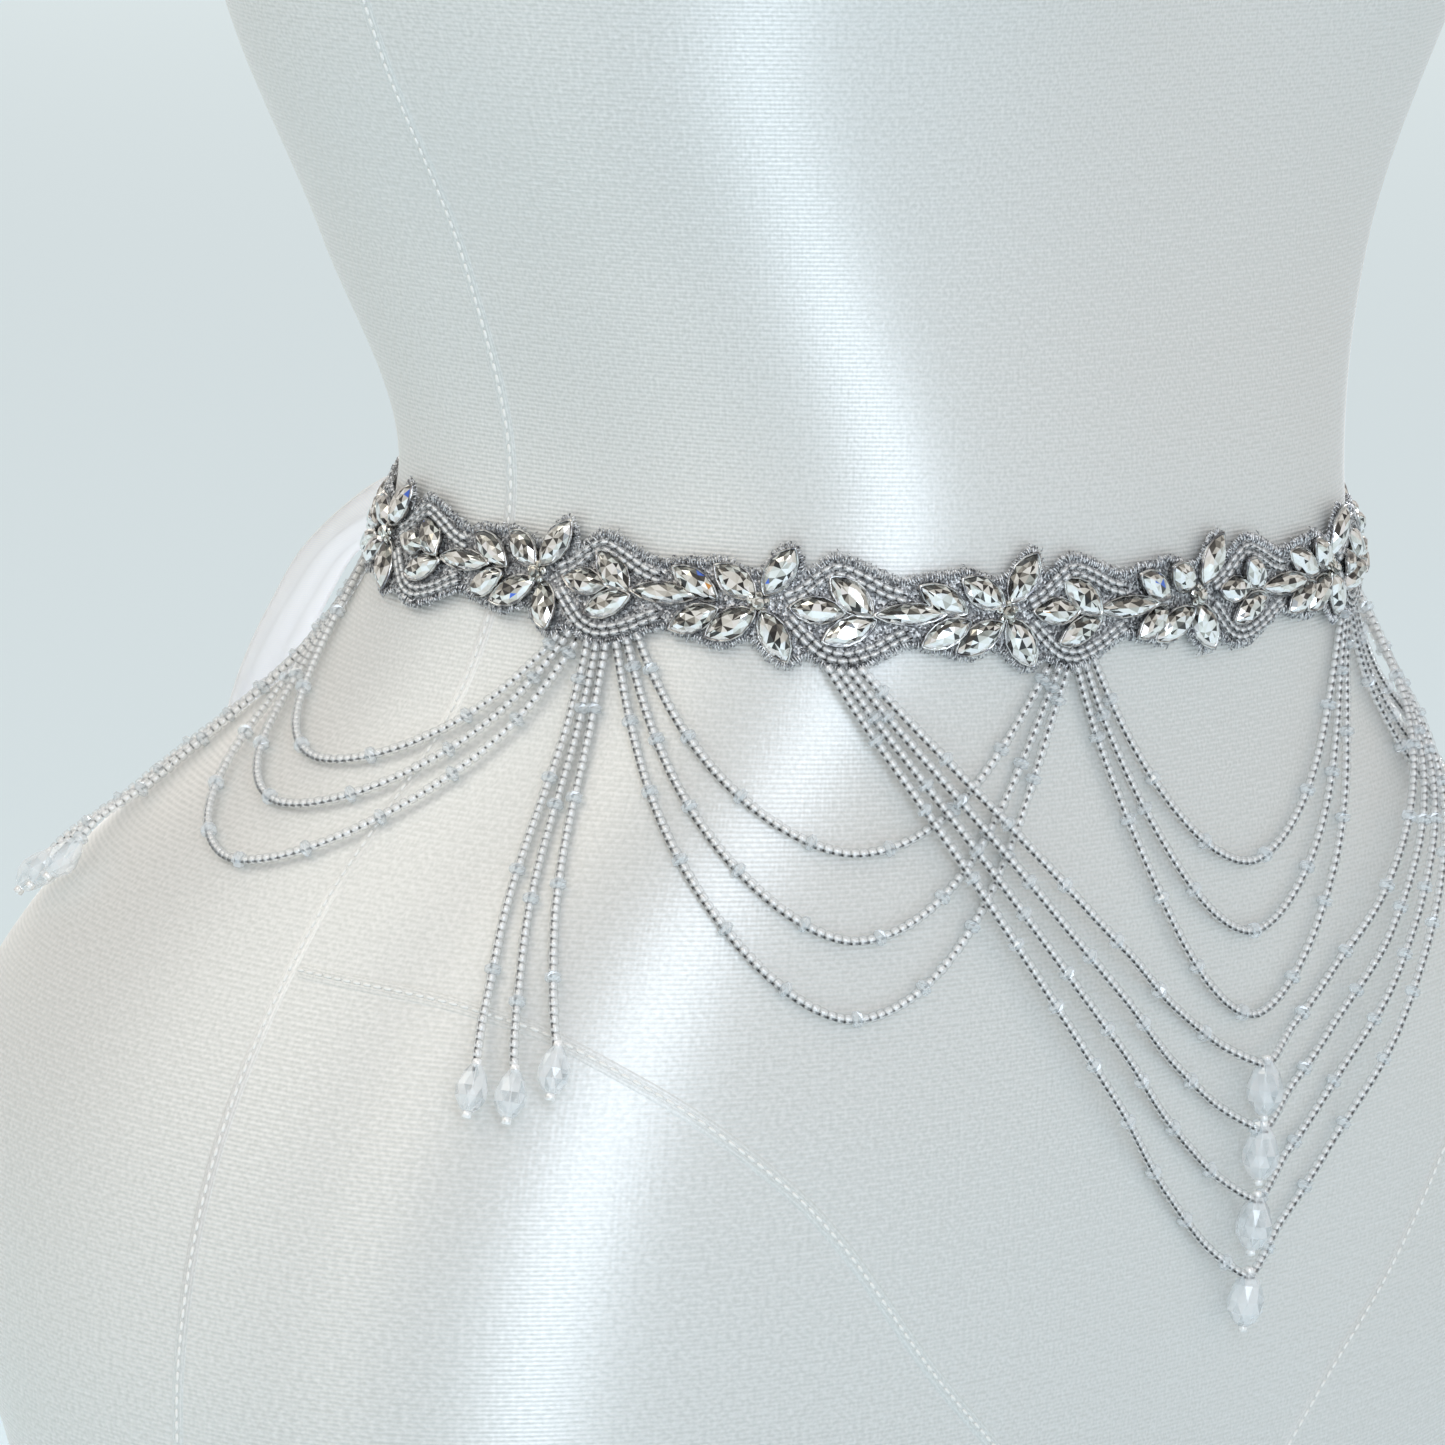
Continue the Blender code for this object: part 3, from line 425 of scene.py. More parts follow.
uv = np.concatenate([grid_uv(rows, columns, COVER_ROUND, COVER_TALL, True), np.zeros((2 * columns, 2))])
form_cover = make_piece("form_cover", points.reshape(-1, 3), [faces, ends], [satin_jersey], uv)
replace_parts(form_cover, "dress_form")
print("form cover:", len(faces), "faces")

# %% [markdown]
# ## Seams of the cover
# The cover is sewn from panels. Seams run down both sides and along the leg line. A seam shows as a
# low welt with a row of stitches sunk in it. Each is drawn as a narrow strip that rises a little
# either side of the stitch line, with small thread stitches on it.

# %% Seams
SIDE_SEAM = table("angle height", (90, -28.3), (90, -20), (90, -10), (90, 0), (90, 12), (90, 24), (90, 33),
                  (90, 36.2))
LEG_SEAM = table("angle height", (89, -9.1), (78, -9.2), (71.4, -9.5), (67, -9.9), (59.2, -11.1),
                 (52.3, -12.6), (47, -14.1), (39.8, -16.6), (34.9, -18.0), (28, -19.6), (20, -21.6),
                 (12, -23.6), (5, -25.2), (0, -26.2))
CENTRE_BACK = table("angle height", (180, -28.3), (180, -10), (180, 5), (180, 20), (180, 40))
WELT_STEP, STITCH_STEP = 3 * MM, 2.6 * MM
STITCH_SIZE = (0.42 * MM, 0.30 * MM, 1.9 * MM)


def seam_path(rows, side, step):
    """Points along a seam, equal steps apart, and its axes: along, across (normal cross along) and out."""
    run = dict(rows, run=np.linspace(0, 1, len(rows["angle"])))
    at = np.linspace(0, 1, 600)
    angle = np.radians(smooth(run, "run", "angle", at)) * side
    height = WAIST + smooth(run, "run", "height", at) * CM
    line = surface(angle, height)
    length = np.concatenate([[0], np.cumsum(np.linalg.norm(np.diff(line, axis=0), axis=1))])
    even = np.linspace(0, length[-1], int(length[-1] / step) + 1)
    angle, height = np.interp(even, length, angle), np.interp(even, length, height)
    here, normal = surface(angle, height), surface(angle, height, 1.0) - surface(angle, height)
    run = np.gradient(here, axis=0)
    run /= np.linalg.norm(run, axis=1, keepdims=True)
    return here, run, np.cross(normal, run), normal


WELT = table("across lift", (-2.0, -0.12), (-1.3, 0.12), (-0.7, 0.26), (-0.2, 0.08), (0.2, 0.08),
             (0.7, 0.26), (1.3, 0.12), (2.0, -0.12))
stitch = turned_shape([(-0.5, 0.25), (-0.38, 0.85), (0, 1), (0.38, 0.85), (0.5, 0.25)], 6)
welts, stitches = [], []
for rows, sides in ((SIDE_SEAM, (-1, 1)), (LEG_SEAM, (-1, 1)), (CENTRE_BACK, (1,))):
    for side in sides:
        here, run, across, normal = seam_path(rows, side, WELT_STEP)
        sideways, lift = (WELT[key][:, None] * MM for key in ("across", "lift"))
        strip = here[:, None] + across[:, None] * sideways + normal[:, None] * lift
        welts.append((strip, grid_uv(len(here), len(lift), 0.006, len(here) * WELT_STEP)[:, ::-1]))
        middle, along, wide, up = seam_path(rows, side, STITCH_STEP)
        size = np.tile(STITCH_SIZE, (len(middle), 1))
        stitches.append(copies(stitch, middle + up * 0.22 * MM, np.stack([wide, up, along], 1), size))
parts = [(strip.reshape(-1, 3), [grid_faces(*strip.shape[:2])]) for strip, uv in welts]
points, groups = gather(parts)
uv = np.concatenate([uv for strip, uv in welts])
seam_welts = make_piece("seam_welts", points, groups, [satin_jersey], uv)
# Polyester sewing thread, twisted: slightly whiter and more matt than the satin
sewing_thread, tree, shader = new_material("polyester_thread_twisted", "#f4f3ee", Roughness=0.55)
points, groups = gather(stitches)
seam_stitches = make_piece("seam_stitches", points, groups, [sewing_thread])
print("seams:", len(welts), "stitches:", sum(len(points) for points, part in stitches) // len(stitch[0]))

# %% [markdown]
# ## The belt's layout
# The belt repeats one unit of 53 mm: a flower of four pointed stones, a diamond framed by bead rows
# with three stones in it, one long stone, and a pair of leaves. The layout is kept in flat
# millimetres from the flower, x along the belt and y up, as a maker would draw it.

# %% Layout tables
UNIT = 53 * MM
FIRST_UNIT, LAST_UNIT, FLOWER_NUMBER = -1, 9, 4
FLOWER_AT = -3.5 * MM
NET_OUT = 1.4 * MM
STONES = table(
    "x0 y0 x1 y1 width",
    (-9.8, 6.0, -2.0, 1.2, 4.6), (1.0, 2.2, 6.0, 10.8, 4.6), (-10.8, -8.2, -2.2, -3.0, 4.6),
    (0.2, -3.0, 5.2, -11.6, 4.6), (7.0, -0.6, 16.5, -1.0, 4.2), (15.0, 5.4, 22.5, -1.0, 4.6),
    (13.5, -7.0, 22.8, -3.0, 4.2),
    (24.5, -1.4, 37.6, -0.9, 3.4), (34.2, 5.0, 43.0, 0.2, 4.2), (34.5, -7.2, 43.0, -2.8, 4.2),
)
DIAMOND_STONES = 7
UPPER_BAND = table("x y", (5.0, 0.9), (8.4, 2.6), (12.2, 5.8), (15.8, 7.6), (20.7, 6.1), (26.0, 3.6),
                   (31.0, 2.3))
LOWER_BAND = table("x y", (5.6, -3.2), (8.8, -6.4), (12.8, -9.6), (17.5, -10.6), (23.5, -8.8),
                   (28.0, -6.3), (31.2, -5.0))
TOP_EDGE = table("x y", (-12.0, 7.4), (-9.4, 8.6), (-1.2, 5.0), (3.2, 11.6), (6.4, 12.6), (7.8, 10.2),
                 (8.8, 6.0), (13.4, 10.2), (16.2, 10.8), (23.0, 8.4), (29.8, 5.4), (34.4, 7.2))
BOTTOM_EDGE = table("x y", (-13.0, -9.4), (-10.2, -10.6), (-6.2, -9.8), (-2.6, -7.4), (2.4, -12.6),
                    (5.4, -13.6), (7.6, -12.2), (9.6, -10.6), (13.0, -12.8), (17.0, -13.6),
                    (21.0, -12.8), (26.0, -10.0), (31.8, -7.2), (35.0, -8.8))
START_EDGE = table("x y", (-13.8, -4.0), (-12.0, 0.0), (-13.0, 4.0))
END_EDGE = table("x y", (33.0, 2.0), (34.0, -0.6), (33.0, -3.2))
UNIT_END = 30.0
UNITS = np.arange(FIRST_UNIT, LAST_UNIT + 1)


def flower_at(unit):
    """The distance along the belt line of a unit's flower."""
    return FLOWER_AT + UNIT * (unit - FLOWER_NUMBER)


def belt_outline():
    """The net's scalloped edge as one loop, in millimetres along and up from the belt line."""
    def shifted(edge, unit):
        """An edge's points moved to a unit; the last unit's top and bottom stop where the belt ends."""
        whole = unit != LAST_UNIT or edge is END_EDGE
        return [(flower_at(unit) / MM + x, y) for x, y in zip(*edge.values()) if whole or x < UNIT_END]

    loop = [point for unit in UNITS for point in shifted(BOTTOM_EDGE, unit)]
    loop += shifted(END_EDGE, LAST_UNIT)[::-1]
    loop += [point for unit in UNITS[::-1] for point in shifted(TOP_EDGE, unit)[::-1]]
    return np.array(loop + shifted(START_EDGE, FIRST_UNIT)[::-1])


def rounded(loop):
    """A closed loop made round: twice, each side keeps only its middle half and corners are cut."""
    for _ in range(2):
        after = np.roll(loop, -1, axis=0)
        loop = np.stack([loop * 0.75 + after * 0.25, loop * 0.25 + after * 0.75], 1).reshape(-1, 2)
    return loop


def even_loop(loop, step):
    """A closed loop's points, equal steps apart, with the outward direction at each."""
    closed = np.concatenate([loop, loop[:1]])
    length = np.concatenate([[0], np.cumsum(np.linalg.norm(np.diff(closed, axis=0), axis=1))])
    at = np.arange(int(length[-1] / step)) * length[-1] / int(length[-1] / step)
    even = np.stack([np.interp(at, length, closed[:, k]) for k in range(2)], -1)
    run = np.roll(even, -1, axis=0) - np.roll(even, 1, axis=0)
    run /= np.linalg.norm(run, axis=1, keepdims=True)
    return even, np.stack([run[:, 1], -run[:, 0]], -1)


EDGE_STEP = 0.6
EDGE, EDGE_OUT = even_loop(rounded(belt_outline()), EDGE_STEP)
print("net edge: %.0f mm round" % (len(EDGE) * EDGE_STEP))

# %% [markdown]
# ## Net backing
# The stones are sewn to a stiff grey net that carries a mat of metallic thread. The net is a thin
# sheet with a scalloped outline, so its faces come from a triangulation of the outline with points
# strewn inside it. Solidify gives it its thickness.

# %% Net backing
def inside(points, loop):
    """Which points lie inside a closed loop: a ray to the right crosses it an odd number of times."""
    a, b = loop, np.roll(loop, -1, axis=0)
    x, y = points[:, :1], points[:, 1:]
    spans = (a[:, 1] > y) != (b[:, 1] > y)
    rise = np.where(b[:, 1] == a[:, 1], 1, b[:, 1] - a[:, 1])
    cross = a[:, 0] + (y - a[:, 1]) * (b[:, 0] - a[:, 0]) / rise
    return (spans & (x < cross)).sum(1) % 2 == 1


NET_POINTS = 2.2
rim = EDGE[::3] - EDGE_OUT[::3] * 0.3
x, y = np.meshgrid(np.arange(EDGE[:, 0].min(), EDGE[:, 0].max(), NET_POINTS), np.arange(-14, 14, NET_POINTS))
within = np.stack([x.ravel() + 0.5 * (y.ravel() % 3), y.ravel()], -1)
within = within[inside(within, rim - EDGE_OUT[::3] * 1.0)]
layout = np.concatenate([rim, within])
sides = [(i, (i + 1) % len(rim)) for i in range(len(rim))]
found = delaunay_2d_cdt([Vector(p) for p in layout], sides, [], 1, 1e-4)
flat_points = np.array([tuple(p) for p in found[0]])
faces = np.array([face for face in found[2] if len(face) == 3])
puckers = 0.18 * MM * np.sin(flat_points[:, 0] * 1.9) * np.cos(flat_points[:, 1] * 1.7)
points = place(flat_points[:, 0] * MM, flat_points[:, 1] * MM, NET_OUT + puckers)
# Nylon net with metallised thread: dark grey with silver sparks half a millimetre wide
metal_net, tree, shader = new_material("nylon_net_metallised", "#777a80", Metallic=0.5, Roughness=0.4)
spot = add(tree, "ShaderNodeTexCoord")
sparks = add(tree, "ShaderNodeTexVoronoi", [("Vector", spot.outputs["Object"])], inputs={"Scale": 1900})
colour = ramp(tree, sparks.outputs["Color"], (0.15, "#545557"), (0.5, "#9c9d9f"), (0.8, "#fafafa"))
tree.links.new(colour.outputs["Color"], shader.inputs["Base Color"])
bump = add(tree, "ShaderNodeBump", [("Height", sparks.outputs["Distance"])],
           inputs={"Strength": 0.7, "Distance": 0.3 * MM})
tree.links.new(bump.outputs["Normal"], shader.inputs["Normal"])
net_backing = make_piece("net_backing", points, [faces], [metal_net], flat_points[faces.ravel()] * MM)
wall = net_backing.modifiers.new("thickness", "SOLIDIFY")
wall.thickness = 0.4 * MM
wall.offset = 0
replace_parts(net_backing, "applique")
corners = flat_points[faces] * MM
first, second = corners[:, 1] - corners[:, 0], corners[:, 2] - corners[:, 0]

# %% [markdown]
# ## Metallic thread
# The net's edge is overcast with crimped silver-grey thread, which makes a soft fuzzy rim, and the same
# thread fills the spaces between stones. Hair particles could do this, but real geometry keeps its
# size in every view. Each stitch is a short arc over the edge, and each loose fibre a short curl.

# %% Overcast edge and fill
def overcast(edge, out, low, high, rows):
    """Short arcs over the edge: half an ellipse from inside it, over it, to just below it, a bit unevenly."""
    count = len(edge)
    turn = np.linspace(0.15, 2.6, rows)[None, :]
    reach = chance.uniform(0.9, 1.5, (count, 1))
    lift = chance.uniform(0.55, 1.0, (count, 1))
    slant = chance.normal(0.25, 0.3, (count, 1)) * np.linspace(-0.5, 0.5, rows)
    push = -np.cos(turn) * reach - 0.35
    beside = np.stack([-out[:, 1], out[:, 0]], -1)
    flat = edge[:, None] + out[:, None] * push[..., None] + beside[:, None] * slant[..., None]
    height = low + (high - low) * np.sin(turn) * lift
    return place(flat[..., 0] * MM, flat[..., 1] * MM, height)


def curls(middle, reach, low, high, rows):
    """Loose fibres: short arcs that rise from the net, each turned its own way."""
    count = len(middle)
    heading = chance.uniform(0, 2 * np.pi, (count, 1))
    bend = chance.normal(0, 1.2, (count, 1))
    u = np.linspace(-1, 1, rows)[None, :]
    size = reach * chance.uniform(0.5, 1.0, (count, 1))
    flat_x = middle[:, :1] + size * u * np.cos(heading + bend * u)
    flat_y = middle[:, 1:] + size * u * np.sin(heading + bend * u)
    height = low + (high - low) * chance.uniform(0.3, 1, (count, 1)) * (1 - u**2)
    return place(flat_x * MM, flat_y * MM, height)


# Metallised polyester thread, crimped: bright silver-grey, with painted glints: random patches painted
# white or grey where turns would catch the light or not
metal_thread, tree, shader = new_material("metallised_thread_crimped", "#a5a8ad", Metallic=0.65, Roughness=0.3)
spot = add(tree, "ShaderNodeTexCoord")
glint_patches = add(tree, "ShaderNodeTexNoise", [("Vector", spot.outputs["Object"])],
              inputs={"Scale": 1400, "Detail": 1})
colour = ramp(tree, glint_patches.outputs["Fac"], (0.38, "#7d7e82"), (0.48, "#d0d2d5"), (0.58, "#ffffff"))
tree.links.new(colour.outputs["Color"], shader.inputs["Base Color"])
arcs = overcast(EDGE, EDGE_OUT, NET_OUT - 0.2 * MM, NET_OUT + 1.0 * MM, 5)
points, groups = threads(arcs, 0.19 * MM)
thread_edge = make_piece("thread_edge", points, groups, [metal_thread])
STREWN, FUZZ = 9000, 1600
strewn = chance.uniform((EDGE[:, 0].min(), -13.5), (EDGE[:, 0].max(), 12.5), (STREWN, 2))
strewn = strewn[inside(strewn, EDGE[::3] + EDGE_OUT[::3] * 0.2)]
fuzz = EDGE[chance.integers(0, len(EDGE), FUZZ)] + chance.normal(0, 0.45, (FUZZ, 2))
loose = curls(np.concatenate([strewn, fuzz]), 1.0, NET_OUT, NET_OUT + 1.1 * MM, 4)
points, groups = threads(loose, 0.11 * MM)
thread_fill = make_piece("thread_fill", points, groups, [metal_thread])
print("edge stitches:", len(arcs), "loose fibres:", len(loose))

# %% [markdown]
# ## Crystals
# The stones are navette-cut: pointed ovals of lead glass with a silver foil behind. The foil and
# the cut make each facet either bright or nearly black, and it changes sharply from one facet to the
# next. Real refraction needs many light bounces to show that, so here it is painted: each facet gets
# its own painted brightness, a painted reflection, and a mirror-like finish. The cut is a grid: rings of
# the pointed oval that shrink as they rise.

# %% Cut of a stone
STONE_SIDES = 14
STONE_TALL = 2.5 * MM
# Stones show larger than their rows: they overlap the cups' rims
STONE_LONG, STONE_WIDE = 1.14, 1.32


def pointed_oval(count, shift=0.0):
    """Points round a pointed oval with half length 1 and half width 1: two arcs that meet at the tips."""
    turn = 2 * np.pi * (np.arange(count) + shift) / count
    x = np.cos(turn)
    reach = np.sqrt(6.25 - (2 * x) ** 2) - 1.5
    return np.stack([x, np.sign(np.sin(turn)) * np.clip(reach, 0, None) * (np.abs(np.sin(turn)) > 1e-6)], -1)


def navette():
    """A cut stone: girdle, crown and table rings joined by triangles, with a low peak on the table."""
    count = STONE_SIDES
    rings = [(1.0, 0.0, 0.0), (1.0, 0.34, 0.0), (0.80, 0.74, 0.5), (0.56, 0.95, 0.0)]
    points = [np.column_stack([pointed_oval(count, shift) * share, np.full(count, z)])
              for share, z, shift in rings]
    points.append(np.array([[-0.2, 0, 1.0], [0.2, 0, 1.0]]))
    i = np.arange(count)
    k = (i + 1) % count
    walls = np.stack([i, k, count + k, count + i], -1)
    base = i[::-1][None]
    a, b, c = count, 2 * count, 3 * count
    crown = [np.stack([a + i, a + k, b + i], -1), np.stack([a + k, b + k, b + i], -1)]
    upper = [np.stack([b + i, b + k, c + k], -1), np.stack([b + i, c + k, c + i], -1)]
    peak = np.where(np.cos(2 * np.pi * (i + 0.5) / count) > 0, 4 * count + 1, 4 * count)
    top = [np.stack([c + i, c + k, peak], -1)]
    bridge = np.array([[c + (count + 2) // 4, 4 * count, 4 * count + 1],
                       [c + (3 * count + 2) // 4, 4 * count + 1, 4 * count]])
    return np.concatenate(points), [walls, base, *crown, *upper, *top, bridge]


def stone_layout():
    """Every stone's middle, direction, half length and half width, in millimetres on the flat layout."""
    found = []
    for unit in UNITS:
        count = DIAMOND_STONES if unit == LAST_UNIT else len(STONES["x0"])
        rows = np.stack([STONES[key][:count] for key in STONES], -1)
        rows[:, (0, 2)] += flower_at(unit) / MM
        found.append(rows)
    rows = np.concatenate(found)
    rows[:, :4] += chance.normal(0, 0.22, (len(rows), 1))
    start, end = rows[:, :2], rows[:, 2:4]
    run = end - start
    return (start + end) / 2, np.arctan2(run[:, 1], run[:, 0]), np.linalg.norm(run, axis=1) / 2, rows[:, 4] / 2


middle, heading, half_length, half_width = stone_layout()
count = len(middle)
stone_axes = axes_at(middle[:, 0] * MM, middle[:, 1] * MM, heading)
tilt = chance.normal(0, 0.10, (count, 2))
leaned = stone_axes[:, 2] + stone_axes[:, 0] * tilt[:, :1] + stone_axes[:, 1] * tilt[:, 1:]
leaned /= np.linalg.norm(leaned, axis=1, keepdims=True)
first = stone_axes[:, 0] - (stone_axes[:, 0] * leaned).sum(1, keepdims=True) * leaned
first /= np.linalg.norm(first, axis=1, keepdims=True)
stone_axes = np.stack([first, np.cross(leaned, first), leaned], 1)
seat = place(middle[:, 0] * MM, middle[:, 1] * MM, 2.15 * MM)
sizes = np.stack([half_length * STONE_LONG, half_width * STONE_WIDE, np.full(count, STONE_TALL / MM)], -1) * MM
points, groups = copies(navette(), seat, stone_axes, sizes)


def paint_facet_reflections(points, groups):
    """Painted reflection for each facet: brighter where it leans down, plus chance; a few are black or
    coloured glints.
    """
    tones = []
    for group in groups:
        a, b, c = (points[group[:, k]] for k in (0, 1, 2))
        normal = np.cross(b - a, c - a)
        normal /= np.linalg.norm(normal, axis=1, keepdims=True) + 1e-12
        # Painted light: a facet that leans down is painted brighter, and chance adds to it
        found = 0.60 - 0.5 * normal[:, 2] + chance.normal(0, 0.22, len(group))
        kind = chance.uniform(0, 1, len(group))
        found = np.where(kind < 0.15, chance.uniform(0.0, 0.12, len(group)), np.clip(found, 0.12, 0.86))
        found = np.where(kind > 0.997, 0.93, found)
        tones.append(np.where(kind > 0.9993, 0.99, found))
    return np.concatenate(tones)


painted_facet_light = paint_facet_reflections(points, groups)
facets = len(painted_facet_light)
# Lead crystal, cut, with silver foil behind: painted reflections, facets from white to almost black
# and a few blue or orange painted glints, under a hard clear gloss
foiled_crystal, tree, shader = new_material(
    "lead_crystal_foiled", "#f4f4ee", Metallic=0.7, Roughness=0.08, Coat_Weight=1.0, Coat_Roughness=0.02)
facet = add(tree, "ShaderNodeAttribute", attribute_name="painted_facet_light")
colour = ramp(tree, facet.outputs["Fac"],
              (0.0, "#0e0e10"), (0.12, "#45433e"), (0.30, "#a5a298"), (0.5, "#e6e5dc"),
              (0.66, "#fefef8"), (0.87, "#ffffff"), (0.91, "#4a74e0"), (0.95, "#4a74e0"), (0.97, "#e6a558"))
tree.links.new(colour.outputs["Color"], shader.inputs["Base Color"])
crystals = make_piece("crystals", points, groups, [foiled_crystal], painted_facet_light=painted_facet_light, flat=True)
print("stones:", count, "facets:", facets)

# %% [markdown]
# Each stone sits in a pressed silver setting with four claws, and is sewn on through small holes at
# its ends. The setting is a thin cup that follows the girdle; the claws are small drops bent over it.

# %% Settings
def cup():
    """A thin-walled cup round a pointed oval: one closed band with five edges."""
    count = STONE_SIDES
    rings = [(1.00, 0.0), (1.12, 0.02), (1.14, 0.40), (1.05, 0.44), (1.0, 0.2)]
    oval = pointed_oval(count)
    points = np.concatenate([np.column_stack([oval * share, np.full(count, z)]) for share, z in rings])
    wall = grid_faces(len(rings), count, True)
    i = np.arange(count)
    k = (i + 1) % count
    last = (len(rings) - 1) * count
    return points, [wall, np.stack([last + i, last + k, k, i], -1)]


CLAW_SIZE = (0.34 * MM, 0.26 * MM, 0.7 * MM)
EYE_SIZE = 0.42 * MM
claw = turned_shape([(-0.6, 0.3), (-0.2, 0.9), (0.3, 1.0), (0.8, 0.7), (1.0, 0.2)], 6)
RING, TUBE = 10, 5
ring_turn = 2 * np.pi * np.arange(RING) / RING
small_turn = 2 * np.pi * np.arange(TUBE) / TUBE
eye = np.stack([(1 + 0.34 * np.cos(small_turn)) * np.cos(ring_turn)[:, None],
                (1 + 0.34 * np.cos(small_turn)) * np.sin(ring_turn)[:, None],
                0.34 * np.sin(small_turn) + 0 * ring_turn[:, None]], -1).reshape(-1, 3)
i, j = np.meshgrid(np.arange(RING), np.arange(TUBE), indexing="ij")
here, ahead, k = i * TUBE, (i + 1) % RING * TUBE, (j + 1) % TUBE
eye_faces = np.stack([here + j, ahead + j, ahead + k, here + k], -1).reshape(-1, 4)
# Brass, pressed and silver-plated, a little tarnished: bright edges, grey hollows
silver_plate, tree, shader = new_material("silver_plate_pressed", "#c9c8c4", Metallic=1.0, Roughness=0.22)
spot = add(tree, "ShaderNodeTexCoord")
stain = add(tree, "ShaderNodeTexNoise", [("Vector", spot.outputs["Object"])],
            inputs={"Scale": 600, "Detail": 2})
colour = ramp(tree, stain.outputs["Fac"], (0.35, "#77767a"), (0.6, "#dddcd8"))
tree.links.new(colour.outputs["Color"], shader.inputs["Base Color"])
cup_sizes = np.stack([half_length * 1.13 * MM, half_width * 1.28 * MM, np.full(count, STONE_TALL)], -1)
metalwork = [copies(cup(), seat - stone_axes[:, 2] * 0.15 * MM, stone_axes, cup_sizes)]
for x, y in ((0.55, 0.78), (0.55, -0.78), (-0.55, 0.78), (-0.55, -0.78)):
    foot = seat + stone_axes[:, 0] * (half_length * x * MM)[:, None]
    foot = foot + stone_axes[:, 1] * (half_width * y * MM)[:, None]
    lean = stone_axes[:, 2] * 0.75 - stone_axes[:, 1] * np.sign(y) * 0.66
    lean /= np.linalg.norm(lean, axis=1, keepdims=True)
    side = stone_axes[:, 0]
    claw_axes = np.stack([side, np.cross(lean, side), lean], 1)
    foot = foot + stone_axes[:, 2] * 1.15 * MM
    metalwork.append(copies(claw, foot, claw_axes, np.tile(CLAW_SIZE, (count, 1))))
for end in (-1, 1):
    spot_at = seat + stone_axes[:, 0] * (end * half_length * 0.86 * MM)[:, None]
    spot_at = spot_at + stone_axes[:, 2] * 1.35 * MM
    metalwork.append(copies((eye, [eye_faces]), spot_at, stone_axes, np.full((count, 3), EYE_SIZE)))
points, groups = gather(metalwork)
settings = make_piece("stone_settings", points, groups, [silver_plate])
print("settings:", count, "faces:", sum(len(group) for group in groups))

# %% [markdown]
# ## Seed beads
# Seed beads are short lengths of drawn glass tube. Theirs is clear with a silver-lined hole, so one
# sees a bright core through glass, and a dark dash where two beads meet. Each bead is a barrel of glass
# that lets most light through, round a silver core that is shorter than the bead, on a dark thread. The
# dash is that thread in the gap and painted shade, as it is set towards the junction's shaded side.

# %% Bead materials and shapes
# Clear glass, drawn and tumbled: mostly see-through, with a small hard shine, and painted shade at
# its rim: it is painted darker where it is seen edge-on
clear_glass, tree, shader = new_material(
    "seed_glass_clear", "#eef2f3", Roughness=0.06, Alpha=0.28, IOR=1.9, Specular_IOR_Level=1.0)
rim = add(tree, "ShaderNodeLayerWeight", inputs={"Blend": 0.55})
colour = ramp(tree, rim.outputs["Facing"], (0.3, "#ffffff"), (0.8, "#a3a9a9"))
tree.links.new(colour.outputs["Color"], shader.inputs["Base Color"])
# Silver lining inside the glass: bright, with streaks from the drawing
silver_lining, tree, shader = new_material(
    "silver_lining_mirrored", "#f8f7f4", Metallic=0.3, Roughness=0.28, Coat_Weight=1.0)
spot = add(tree, "ShaderNodeTexCoord")
streak = add(tree, "ShaderNodeTexNoise", [("Vector", spot.outputs["Object"])],
             inputs={"Scale": 1500, "Detail": 1})
colour = ramp(tree, streak.outputs["Fac"], (0.34, "#eceae5"), (0.5, "#fefdfa"), (0.7, "#ffffff"))
tree.links.new(colour.outputs["Color"], shader.inputs["Base Color"])
# Nylon thread in the gap between linings, and painted shade: a dark dash set on the junction's shaded side
thread_and_shade_dash, tree, shader = new_material("nylon_thread_and_painted_shade", "#14120f", Roughness=0.6)

barrel = turned_shape([(-0.5, 0.5), (-0.38, 0.93), (0, 1), (0.38, 0.93), (0.5, 0.5)], 8)
core = turned_shape([(-0.41, 0.5), (-0.33, 1), (0.33, 1), (0.41, 0.5)], 6)
link = turned_shape([(-0.5, 1), (0.5, 1)], 5)
rondelle = turned_shape([(-0.5, 0.42), (-0.2, 1), (0.2, 1), (0.5, 0.42)], 8, np.pi / 8)
BEAD_STEP = 1.95 * MM
BEAD_RADIUS = 1.1 * MM
# Core and dark dash beside a bead: shares of its radius, then of its step
CORE_WIDE, DASH_WIDE, DASH_LONG, GLASS_LONG = 0.46, 0.25, 0.62, 0.97
# The dash, thread and painted shade, sits below and to one side of the junction, where it is
# shaded, and in front of it, in shares of the radius
DASH_SIDE, DASH_FRONT = 0.5, 0.36
SHADE_DIRECTION = (0.65, 0.65, 0.76)
RONDELLE_RADIUS, RONDELLE_LONG = 1.8 * MM, 2.3 * MM


def along_path(points, step):
    """Places equal steps apart along a path, from half a step in, with its direction there."""
    length = np.concatenate([[0], np.cumsum(np.linalg.norm(np.diff(points, axis=0), axis=1))])
    at = np.arange(step / 2, length[-1] - step * 0.4, step)
    here, ahead, behind = (np.stack([np.interp(at + shift, length, points[:, k]) for k in range(3)], -1)
                           for shift in (0, step / 4, -step / 4))
    run = ahead - behind
    return here, run / np.linalg.norm(run, axis=1, keepdims=True)


def bead_axes(run, roll):
    """Axes for beads along a path: the hole along the path, and a roll round it."""
    side = np.cross(run, np.array([0.05, 0.08, 1.0]))
    side /= np.linalg.norm(side, axis=1, keepdims=True)
    other = np.cross(run, side)
    cos, sin = np.cos(roll)[:, None], np.sin(roll)[:, None]
    return np.stack([side * cos + other * sin, other * cos - side * sin, run], 1)


